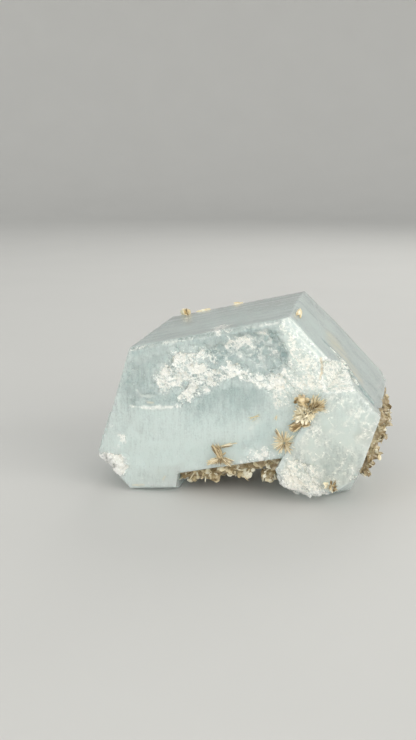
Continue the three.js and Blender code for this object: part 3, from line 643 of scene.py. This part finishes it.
def makeBeryl():
    bm = berylFaces()
    print("beryl: large faces", len(bm.faces), "open edges", sum(not e.is_manifold for e in bm.edges))
    co, tris, rough = fineMesh(bm)
    bm.free()
    broken, count = np.zeros(len(co)), np.zeros(len(co))
    for k in range(3):
        np.add.at(broken, tris[:, k], rough)
        np.add.at(count, tris[:, k], 1)
    co, masks = berylRelief(co, tris, broken / np.maximum(count, 1))
    mesh = bpy.data.meshes.new("beryl_crystal")
    mesh.from_pydata(co.tolist(), [], tris.tolist())
    mesh.transform(fromCrystal)
    print("beryl: faces", len(tris), "open edges", openEdges(tris))
    mesh.shade_smooth()
    mesh.set_sharp_from_angle(angle=berylShape["sharpAngle"])
    for name, values in masks.items():
        keepAttribute(mesh, name, values)
    piece = newPiece("beryl_crystal", mesh, berylMaterial())
    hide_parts("aquamarine")
    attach(piece, "root")
    return piece


beryl = makeBeryl()

# mica: leaves and blades drawn once, then set out by nodes
micaLook = {
    "dark": (0.30, 0.21, 0.10),
    "tan": (0.76, 0.63, 0.39),
    # the palest mica, which also serves as painted pearly glints on the leaves tinted highest
    "cream": (0.97, 0.91, 0.73),
    "roughness": 0.28,
    "ior": 1.58,
    "coat": 0.35,
    "coatRoughness": 0.15,
}


def micaMaterial(name, warm=(1.0, 1.0, 1.0)):
    look = micaLook
    material, tree = newMaterial(name)
    place = put(tree, "ShaderNodeTexCoord").outputs["Object"]
    tint = put(tree, "ShaderNodeAttribute", {"attribute_name": "tint"}).outputs["Fac"]
    blotch = noiseOf(tree, place, 1.6, 4.0, 0.6)
    fine = noiseOf(tree, place, 0.25, 2.0, 0.6)
    dark, tan, cream = ([c * w for c, w in zip(look[key], warm)] for key in ("dark", "tan", "cream"))
    tone = sumOf(tree, "ADD", tint, rangeOf(tree, blotch, 0.3, 0.7, -0.3, 0.3))
    colour = blendOf(tree, rangeOf(tree, tone, -0.1, 0.5), dark, tan)
    colour = blendOf(tree, rangeOf(tree, tone, 0.5, 1.1), colour, cream)
    rough = sumOf(tree, "ADD", sumOf(tree, "MULTIPLY", fine, 0.25), look["roughness"] - 0.12)
    bump = put(tree, "ShaderNodeBump", Height=fine, Strength=0.25, Distance=0.0001)
    shader = put(tree, "ShaderNodeBsdfPrincipled", Base_Color=colour, Roughness=rough, IOR=look["ior"],
                 Normal=bump.outputs[0], Coat_Weight=look["coat"], Coat_Roughness=look["coatRoughness"])
    put(tree, "ShaderNodeOutputMaterial", Surface=shader.outputs[0])
    return material


def addLeaf(bm, dice, start, wide, thick, layers, bend, place=Matrix(), sides=6):  # a stack of thin layers, 1 long
    outline = [(a, dice.uniform(0.74, 1.0)) for a in np.arange(sides) / sides * 2 * math.pi + dice.uniform(0, 1)]
    for layer in range(layers):
        share = 1 - layer * dice.uniform(0.16, 0.3)
        slide = dice.uniform(-0.08, 0.08) * layer
        rings = []
        for z in (layer / layers - 0.5, (layer + 1.04) / layers - 0.5):
            ring = []
            for a, reach in outline:
                x = 0.5 * math.cos(a) * reach * share + slide + 0.5 + start
                y = 0.5 * wide * math.sin(a) * reach * share
                ring.append(bm.verts.new(place @ Vector((x, y, z * thick + bend * x * x))))
            rings.append(ring)
        low, high = rings
        bm.faces.new(low[::-1])
        bm.faces.new(high)
        for k in range(sides):
            n = (k + 1) % sides
            bm.faces.new((low[k], low[n], high[n], high[k]))


def leafSet(name, count, start, wide, thick, layers, bend):  # a collection of leaves that differ a little
    leaves = bpy.data.collections.new(name)
    for i in range(count):
        bm = bmesh.new()
        dice = np.random.default_rng(10 + i)
        addLeaf(bm, dice, start, wide * (0.8 + 0.15 * i), thick * (0.8 + 0.12 * i), layers, bend * (i - 1))
        leafName = f"{name}.{i}"
        leaves.objects.link(bpy.data.objects.new(leafName, meshFrom(bm, leafName)))
    return leaves


def startTree(name, inputs):  # an empty node tree with named inputs
    tree = bpy.data.node_groups.new(name, "GeometryNodeTree")
    tree.is_modifier = True
    tree.interface.new_socket("Geometry", in_out="OUTPUT", socket_type="NodeSocketGeometry")
    tree.interface.new_socket("Geometry", in_out="INPUT", socket_type="NodeSocketGeometry")
    for label, kind in inputs:
        tree.interface.new_socket(label, in_out="INPUT", socket_type="NodeSocket" + kind)
    return tree, tree.nodes.new("NodeGroupInput").outputs


def randomOf(tree, low, high, seed, kind="FLOAT"):  # a random value of each point
    first = {"FLOAT_VECTOR": 0, "FLOAT": 2, "INT": 4}[kind]
    made = put(tree, "FunctionNodeRandomValue", {"data_type": kind}, Seed=seed)
    fill(tree, made.inputs[first], low)
    fill(tree, made.inputs[first + 1], high)
    return made.outputs[first // 2]


def vectorOf(tree, kind, a, b=None):
    more = {} if b is None else {"Scale" if kind == "SCALE" else "i1": b}
    made = put(tree, "ShaderNodeVectorMath", {"operation": kind}, i0=a, **more)
    return made.outputs["Value" if kind == "DOT_PRODUCT" else "Vector"]


def endTree(tree, points, given, turn, size):  # leaves on the points, each with its own tint, and the material
    leaves = put(tree, "GeometryNodeCollectionInfo", Collection=given["Leaves"], Separate_Children=True,
                 Reset_Children=True)
    spread = put(tree, "GeometryNodeInstanceOnPoints", Points=points, Instance=leaves.outputs[0],
                 Pick_Instance=True, Instance_Index=randomOf(tree, 0, 99, given["Seed"], "INT"),
                 Rotation=turn, Scale=size)
    tint = randomOf(tree, 0.0, 1.0, sumOf(tree, "ADD", given["Seed"], 7))
    tint = sumOf(tree, "ADD", sumOf(tree, "MULTIPLY", tint, 1.3), given["Tint"])
    stored = put(tree, "GeometryNodeStoreNamedAttribute", {"data_type": "FLOAT", "domain": "INSTANCE"},
                 Geometry=spread.outputs[0], Name="tint", Value=tint)
    real = put(tree, "GeometryNodeRealizeInstances", Geometry=stored.outputs[0])
    both = put(tree, "GeometryNodeJoinGeometry")
    tree.links.new(real.outputs[0], both.inputs[0])
    tree.links.new(given["Geometry"], both.inputs[0])
    done = put(tree, "GeometryNodeSetMaterial", Geometry=both.outputs[0], Material=given["Material"])
    tree.links.new(done.outputs[0], tree.nodes.new("NodeGroupOutput").inputs[0])
    return tree


def sprayTree():  # leaves that spread from one point on a face
    tree, given = startTree("mica spray", [
        ("Leaves", "Collection"), ("Material", "Material"), ("Count", "Int"), ("Seed", "Int"), ("Centre", "Vector"),
        ("Axis", "Vector"), ("Face", "Vector"), ("Spread", "Float"), ("Shortest", "Float"), ("Longest", "Float"),
        ("Heart", "Float"), ("Tint", "Float")])
    wild = randomOf(tree, (-1, -1, -1), (1, 1, 1), given["Seed"], "FLOAT_VECTOR")
    middle = vectorOf(tree, "ADD", given["Centre"], vectorOf(tree, "SCALE", wild, given["Heart"]))
    points = put(tree, "GeometryNodePoints", Count=given["Count"], Position=middle)
    way = put(tree, "ShaderNodeMix", {"data_type": "VECTOR"}, i0=given["Spread"], i4=given["Axis"], i5=wild)
    even = vectorOf(tree, "NORMALIZE", way.outputs[1])
    rise = vectorOf(tree, "DOT_PRODUCT", even, given["Face"])
    short = sumOf(tree, "MAXIMUM", sumOf(tree, "SUBTRACT", 0.12, rise), 0.0)  # keeps leaves off the beryl
    away = vectorOf(tree, "ADD", even, vectorOf(tree, "SCALE", given["Face"], short))
    aim = put(tree, "FunctionNodeAlignRotationToVector", {"axis": "X"}, Vector=away)
    roll = put(tree, "FunctionNodeAxisAngleToRotation", Axis=(1, 0, 0),
               Angle=randomOf(tree, 0.0, 6.283, sumOf(tree, "ADD", given["Seed"], 1)))
    turn = put(tree, "FunctionNodeRotateRotation", {"rotation_space": "LOCAL"}, Rotation=aim.outputs[0],
               Rotate_By=roll.outputs[0])
    size = randomOf(tree, given["Shortest"], given["Longest"], sumOf(tree, "ADD", given["Seed"], 2))
    return endTree(tree, points.outputs[0], given, turn.outputs[0], size)


def crustTree():  # leaves set all over a crust, more or less flat on it
    tree, given = startTree("mica crust", [
        ("Leaves", "Collection"), ("Material", "Material"), ("Apart", "Float"), ("Seed", "Int"), ("Tilt", "Float"),
        ("Smallest", "Float"), ("Largest", "Float"), ("Tint", "Float")])
    grow = put(tree, "GeometryNodeInputNamedAttribute", {"data_type": "FLOAT"}, Name="grow")
    strewn = put(tree, "GeometryNodeDistributePointsOnFaces", {"distribute_method": "POISSON"},
                 Mesh=given["Geometry"], Distance_Min=given["Apart"], Density_Max=4e6, Seed=given["Seed"])
    tree.links.new(grow.outputs[0], strewn.inputs["Density Factor"])
    lean = randomOf(tree, (-1, -1, -4), (1, 1, 4), given["Seed"], "FLOAT_VECTOR")
    tilt = vectorOf(tree, "SCALE", lean, given["Tilt"])
    turn = put(tree, "FunctionNodeRotateRotation", {"rotation_space": "LOCAL"}, Rotation=strewn.outputs["Rotation"],
               Rotate_By=put(tree, "FunctionNodeEulerToRotation", Euler=tilt).outputs[0])
    size = randomOf(tree, given["Smallest"], given["Largest"], sumOf(tree, "ADD", given["Seed"], 2))
    return endTree(tree, strewn.outputs[0], given, turn.outputs[0], size)


def addNodes(piece, tree, **values):  # a modifier with its inputs set by their identifiers
    modifier = piece.modifiers.new(tree.name, "NODES")
    modifier.node_group = tree
    for spot in tree.interface.items_tree:
        if spot.in_out == "INPUT" and spot.name in values:
            modifier[spot.identifier] = values[spot.name]


def plainMesh(piece):  # the evaluated result as a plain mesh, with no modifier left
    bpy.context.view_layer.update()
    seen = bpy.context.evaluated_depsgraph_get()
    mesh = bpy.data.meshes.new_from_object(piece.evaluated_get(seen), preserve_all_data_layers=True, depsgraph=seen)
    piece.modifiers.clear()
    piece.data = mesh
    mesh.name = piece.name
    print(piece.name, "faces", len(mesh.polygons))


def finishMica(piece, node):
    if piece.modifiers:
        plainMesh(piece)
    for v in piece.data.vertices:
        v.co.z = max(v.co.z, 0.02 * mm)  # none reaches into the ground
    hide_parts(node)
    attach(piece, "root")


def onBeryl(place):  # a point in mm on the beryl's axes, as metres in the part's frame
    return fromCrystal @ Vector(place)


def alongBeryl(way):
    return leanTurn.to_3x3() @ Vector(way).normalized()


micaLeaves = {  # how many kinds, where they start, width, thickness, layers, bend, all for a length of 1
    "blade": (4, 0.0, 0.26, 0.06, 2, 0.10),
    "needle": (3, 0.0, 0.10, 0.05, 2, 0.05),
    "hair": (3, 0.0, 0.055, 0.04, 1, 0.06),
    "plate": (4, -0.5, 0.85, 0.11, 2, 0.12),
    "petal": (4, -0.1, 0.8, 0.07, 2, 0.35),
}
blades, needles, hairs, plates, petals = (leafSet(name, *form) for name, form in micaLeaves.items())
sprayNodes = sprayTree()
crustNodes = crustTree()
sprayMica = micaMaterial("mica_leaves")
crustMica = micaMaterial("mica_crust", (0.85, 0.88, 0.92))
out = (0, -1, 0)  # off the front face

micaSprays = {  # each: leaves, how many, where, which way, off which face, spread, lengths, heart, tint
    "mica_cluster": [
        (needles, 240, (18.5, -0.4, -4.5), (0.72, -0.6, 0.55), out, 0.36, (1.6, 3.4), 0.55, 0.1),
        (blades, 130, (17.5, -0.5, -4.7), out, out, 0.92, (0.8, 1.8), 0.8, 0.1),
        # the bright mass of the cluster, tinted towards cream: pale mica with painted highlights
        (blades, 240, (16.3, -0.6, -5.5), out, out, 0.94, (0.9, 2.0), 0.9, 1.0),
        (needles, 80, (15.4, -0.4, -5.8), (-1, -0.5, 0), out, 0.36, (1.2, 2.5), 0.45, 0.1),
        (blades, 110, (14.8, -0.35, -7.7), (-0.95, -0.25, -0.25), out, 0.12, (1.5, 3.0), 0.5, -0.65),
        (blades, 90, (14.6, -0.35, -7.7), (0.95, -0.25, 0.25), out, 0.12, (1.4, 2.8), 0.5, -0.65),
    ],
    "mica_star": [
        (hairs, 170, (10.1, -0.35, -11.5), out, out, 0.96, (1.5, 3.3), 0.15, 0.08),
        (needles, 30, (10.1, -0.35, -11.5), out, out, 0.94, (1.2, 2.7), 0.2, -0.35),
        (blades, 26, (10.1, -0.3, -11.6), out, out, 0.8, (0.7, 1.4), 0.4, -0.45),
        (needles, 7, (10, -0.35, -11.2), (-0.35, -0.2, 1), out, 0.05, (2.8, 3.9), 0.15, -0.35),
    ],
    "mica_wedge": [
        (hairs, 90, (-5.3, -0.4, -12.8), (-0.12, -0.3, 1), out, 0.1, (2.2, 4.3), 0.5, -0.35),
        (hairs, 60, (-5.0, -0.4, -12.9), (0.7, -0.3, -0.55), out, 0.14, (1.4, 3.0), 0.4, -0.2),
        (hairs, 60, (-5.4, -0.4, -12.9), (-1, -0.3, -0.1), out, 0.12, (1.6, 3.6), 0.4, -0.2),
        (needles, 40, (-5.3, -0.4, -12.8), (-0.3, -0.4, -0.9), out, 0.3, (0.9, 2.0), 0.5, -0.35),
        (hairs, 12, (-5.2, -0.4, -10.2), (1, -0.16, 0.12), out, 0.07, (2.4, 4.6), 0.3, -0.15),
        (blades, 26, (-5.2, -0.4, -12.6), out, out, 0.85, (0.7, 1.5), 0.5, -0.4),
    ],
    "mica_tuft": [
        (petals, 7, (-15.9, 35.4, 17.5), (-0.25, -0.3, 1), (0, 0, 1), 0.3, (1.8, 2.7), 0.3, 0.0),
        (petals, 5, (-15.6, 35.3, 17.5), (0.45, -0.5, 0.8), (0, 0, 1), 0.3, (1.2, 2.0), 0.3, -0.2),
    ],
    "mica_base": [
        (petals, 9, (18.3, -0.8, -22.9), (-0.3, -0.8, 0.6), out, 0.5, (1.0, 2.0), 0.4, 0.3),
        (blades, 22, (19.0, -0.9, -23.4), (0.5, -0.7, 0.3), out, 0.45, (1.0, 2.2), 0.3, -0.4),
    ],
}
micaRose = {"middle": (16.1, -0.9, -2.3), "radius": 1.15, "apart": 0.5, "sizes": (0.9, 1.5), "tilt": 0.5,
            "tint": -0.4}


def roseBall():  # the ball that the petals of the rose sit on
    bm = bmesh.new()
    bmesh.ops.create_icosphere(bm, subdivisions=3, radius=micaRose["radius"] * mm,
                               matrix=Matrix.Translation(onBeryl(micaRose["middle"])))
    mesh = meshFrom(bm, "mica_cluster")
    keepAttribute(mesh, "grow", np.ones(len(mesh.vertices)))
    keepAttribute(mesh, "tint", np.full(len(mesh.vertices), 0.25))
    return mesh


def makeSprays():
    for node, sprays in micaSprays.items():
        rosy = node == "mica_cluster"
        piece = newPiece(node + "_spray", roseBall() if rosy else bpy.data.meshes.new(node))
        if rosy:
            addNodes(piece, crustNodes, Leaves=petals, Material=sprayMica, Apart=micaRose["apart"] * mm, Seed=2,
                     Tilt=micaRose["tilt"], Smallest=micaRose["sizes"][0] * mm, Largest=micaRose["sizes"][1] * mm,
                     Tint=micaRose["tint"])
        for seed, (leaves, count, place, way, face, spread, (short, long), heart, tint) in enumerate(sprays):
            addNodes(piece, sprayNodes, Leaves=leaves, Material=sprayMica, Count=count, Seed=seed * 13 + len(node),
                     Centre=onBeryl(place), Axis=alongBeryl(way), Face=alongBeryl(face), Spread=spread,
                     Shortest=short * mm, Longest=long * mm, Heart=heart * mm, Tint=tint)
        finishMica(piece, node)


micaCrusts = {  # the leaves, and the outline that the crust keeps to, measured along one way and y
    "mica_crust_under": {"apart": 0.75, "sizes": (0.8, 2.4), "tilt": 1.05, "seed": 3, "across": (1, 0, 0),
                         "outline": [(-28, -8), (16, -8), (16, 34), (-28, 34)]},
    "mica_crust_side": {"apart": 0.7, "sizes": (0.7, 2.0), "tilt": 1.0, "seed": 4, "across": (-0.5, 0, -0.866),
                        "outline": [(-10.5, 0), (10, 0), (9.5, 8), (5, 29), (-9.5, 29)]},
}
crustForm = {  # in mm, apart from the tint
    "edge": 0.9,  # longest edge
    "lump": 1.2,
    "border": 2.0,  # how far inside its outline the crust ends
    "raggedness": ((4.0, 2.8), (1.5, 1.4)),  # size and reach of the border's bays
    "seat": 0.5,  # closer to the beryl than this, it is seated on it
    "bare": 0.6,  # closer than this, no leaf grows
    "tint": -0.2,
}


def bvhOf(piece):  # for nearest points, in mm on the beryl's axes
    bm = bmesh.new()
    bm.from_mesh(piece.data)
    bmesh.ops.transform(bm, matrix=toCrystal, verts=bm.verts)
    made = BVHTree.FromBMesh(bm)
    bm.free()
    return made


def makeCrusts():
    form = crustForm
    berylTree = bvhOf(beryl)
    for node, crust in micaCrusts.items():
        bm = bmesh.new()
        bm.from_mesh(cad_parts[node].data)
        bmesh.ops.transform(bm, matrix=toCrystal, verts=bm.verts)
        bmesh.ops.remove_doubles(bm, verts=bm.verts, dist=0.004)
        bmesh.ops.dissolve_limit(bm, angle_limit=math.radians(0.4), verts=bm.verts, edges=bm.edges)
        bmesh.ops.triangulate(bm, faces=bm.faces)
        cutFine(bm, form["edge"])
        co = np.array([v.co for v in bm.verts])
        _, tone, _ = grainsAt(co, form["lump"], 21)
        across = np.array(crust["across"])
        flat = np.column_stack([co @ across, co[:, 1]])
        border = form["border"]
        for seed, (size, reach) in enumerate(form["raggedness"]):
            border = border + reach * noiseAt(co, size, 22 + seed)
        inward = np.mean(crust["outline"], axis=0) - flat
        inward /= np.linalg.norm(inward, axis=1)[:, None]
        moved = flat.copy()
        for again in range(4):  # draws what is past the ragged border back to it
            moved += inward * np.maximum(border - insideOf(moved, crust["outline"]), 0)[:, None]
        co += (moved - flat)[:, :1] * across + (moved - flat)[:, 1:] * np.array([0, 1, 0])
        kept = ramp(insideOf(moved, crust["outline"]) - border, 0, 1.6)
        bm.normal_update()
        grow = []
        for v, place, t, share in zip(bm.verts, co, tone, kept):
            place = Vector(place)
            near, _, _, gap = berylTree.find_nearest(place)
            if gap < form["seat"]:
                v.co = near.lerp(place, 0.05)
            else:
                v.co = near.lerp(place + v.normal * (0.3 * (t - 0.7)), 0.3 + 0.7 * share)  # thins towards its border
            grow.append(1.0 if gap > form["bare"] and share > 0.1 else 0.0)
        bmesh.ops.transform(bm, matrix=fromCrystal, verts=bm.verts)
        mesh = meshFrom(bm, node)
        keepAttribute(mesh, "grow", grow)
        # the crust's own surface between the flakes is tinted dark: darker mica, with the painted shade of its
        # cavities
        keepAttribute(mesh, "tint", 0.25 * tone - 0.1)
        piece = newPiece(node + "_flakes", mesh)
        addNodes(piece, crustNodes, Leaves=plates, Material=crustMica, Apart=crust["apart"] * mm, Seed=crust["seed"],
                 Tilt=crust["tilt"], Smallest=crust["sizes"][0] * mm, Largest=crust["sizes"][1] * mm,
                 Tint=form["tint"])
        finishMica(piece, node)


micaSlivers = {  # each: middle, way it points, face it lies on, length in mm, width as a share of it, leaves
    "mica_sliver_mid": ((4.5, 0, -4.7), (1, 0, 0.25), out, 3.7, 0.055, 6),
    "mica_sliver_short": ((9.4, 0, -5.4), (0.6, 0, 1), out, 1.8, 0.16, 3),
    "mica_sliver_corner": ((17.8, 9.4, 16), (0.12, 1, 0.25), (0.855, 0, 0.518), 4.8, 0.2, 3),
    "mica_flake_ridge": ((-11.6, 37, 17.7), (1, 0, 0.05), (0, 1, 0), 4.8, 0.2, 3),
    "mica_flake_ridge_far": ((-2, 37, 17.6), (1, 0, 0.02), (0, 1, 0), 4.0, 0.2, 3),
}


def makeSlivers():
    for node, (place, way, face, long, wide, leaves) in micaSlivers.items():
        dice = np.random.default_rng(len(node))
        bm = bmesh.new()
        up = Vector(face).normalized()
        for k in range(leaves):
            ahead = Vector(way).normalized()
            ahead.rotate(Matrix.Rotation(dice.uniform(-0.26, 0.26), 3, up))
            ahead = (ahead + up * 0.05 * k).normalized()
            side = up.cross(ahead).normalized()
            axes = Matrix((ahead * long, side * long, ahead.cross(side) * long)).transposed().to_4x4()
            axes.translation = Vector(place) + up * (0.12 + 0.12 * k) + side * dice.uniform(-0.1, 0.1) * long
            shrink = Matrix.Scale(1 - 0.12 * k, 4)
            addLeaf(bm, dice, -0.5, wide, 0.07, 2, dice.uniform(-0.05, 0.05), fromCrystal @ axes @ shrink)
        mesh = meshFrom(bm, node)
        keepAttribute(mesh, "tint", np.repeat(dice.uniform(0.35, 1.0, leaves), len(mesh.vertices) // leaves))
        finishMica(newPiece(node + "_leaf", mesh, sprayMica), node)


makeSprays()
makeCrusts()
makeSlivers()

# the studio: a pale round floor that turns up far away, soft lights and the camera
studio = {
    "floorReach": 1.05,
    "wallHeight": 0.77,
    "bend": 0.49,
    "floorColour": (0.60, 0.595, 0.585),
    "lampColour": (1.0, 0.985, 0.935),
    "world": (0.96, 0.98, 0.96),
    "worldStrength": 0.58,
    "lamps": [  # name, place, width and height, watts
        ("key", (-0.27, -0.92, 0.42), (1.8, 0.8), 6.5),
        ("right", (0.86, -0.48, 0.40), (1.1, 0.7), 7.9),
        ("behind", (0.10, 0.60, 0.50), (0.5, 0.4), 1.2),
    ],
    "camera": (37.70, -214.0, 77.46),  # mm
    "azimuth": 12.9,
    "lookDown": 13.0,
    "lens": 43.78,
}


def studioFloor():
    bm = bmesh.new()
    profile = [(0.0, 0.0), (studio["floorReach"], 0.0)]
    for i in range(1, 9):
        a = math.pi / 2 * i / 8
        profile.append((studio["floorReach"] + studio["bend"] * math.sin(a), studio["bend"] * (1 - math.cos(a))))
    profile.append((profile[-1][0], studio["wallHeight"]))
    rounds = 64
    rings = []
    for reach, height in profile:
        count = rounds if reach else 1
        angles = [2 * math.pi * k / count for k in range(count)]
        rings.append([bm.verts.new((reach * math.cos(a), reach * math.sin(a), height)) for a in angles])
    for inner, outer in zip(rings, rings[1:]):
        for k in range(rounds):
            n = (k + 1) % rounds
            if len(inner) == 1:
                bm.faces.new((inner[0], outer[k], outer[n]))
            else:
                bm.faces.new((inner[k], outer[k], outer[n], inner[n]))
    mesh = meshFrom(bm, "studio_floor")
    mesh.shade_smooth()
    material, tree = newMaterial("pale floor")
    place = put(tree, "ShaderNodeTexCoord").outputs["Object"]
    soft = noiseOf(tree, place, 60.0, 3.0)
    colour = blendOf(tree, soft, studio["floorColour"], [c * 1.05 for c in studio["floorColour"]])
    shader = put(tree, "ShaderNodeBsdfPrincipled", Base_Color=colour, Roughness=0.75)
    put(tree, "ShaderNodeOutputMaterial", Surface=shader.outputs[0])
    floor = newPiece("studio_floor", mesh, material)


def studioLights():
    target = Vector((0, 0, 0.02))
    for name, place, size, watts in studio["lamps"]:
        lamp = bpy.data.lights.new("light_" + name, "AREA")
        lamp.shape, lamp.energy, lamp.color = "RECTANGLE", watts, studio["lampColour"]
        lamp.size, lamp.size_y = size
        holder = bpy.data.objects.new("light_" + name, lamp)
        holder.location = place
        holder.rotation_euler = (target - Vector(place)).to_track_quat("-Z", "Y").to_euler()
        scene.collection.objects.link(holder)
    world = bpy.data.worlds.new("studio")
    world.use_nodes = True
    world.node_tree.nodes["Background"].inputs[0].default_value = (*studio["world"], 1)
    world.node_tree.nodes["Background"].inputs[1].default_value = studio["worldStrength"]
    scene.world = world


def studioCamera():
    camera = bpy.data.cameras.new("camera")
    camera.lens, camera.sensor_width = studio["lens"], 36
    camera.clip_start, camera.clip_end = 0.01, 10
    holder = bpy.data.objects.new("camera", camera)
    around, down = math.radians(studio["azimuth"]), math.radians(studio["lookDown"])
    back = Vector((math.sin(around) * math.cos(down), -math.cos(around) * math.cos(down), math.sin(down)))
    holder.location = Vector(studio["camera"]) * mm
    holder.rotation_euler = (-back).to_track_quat("-Z", "Y").to_euler()
    scene.collection.objects.link(holder)
    scene.camera = holder


studioFloor()
studioLights()
studioCamera()
scene.view_settings.view_transform = "Standard"
print("studio ready")
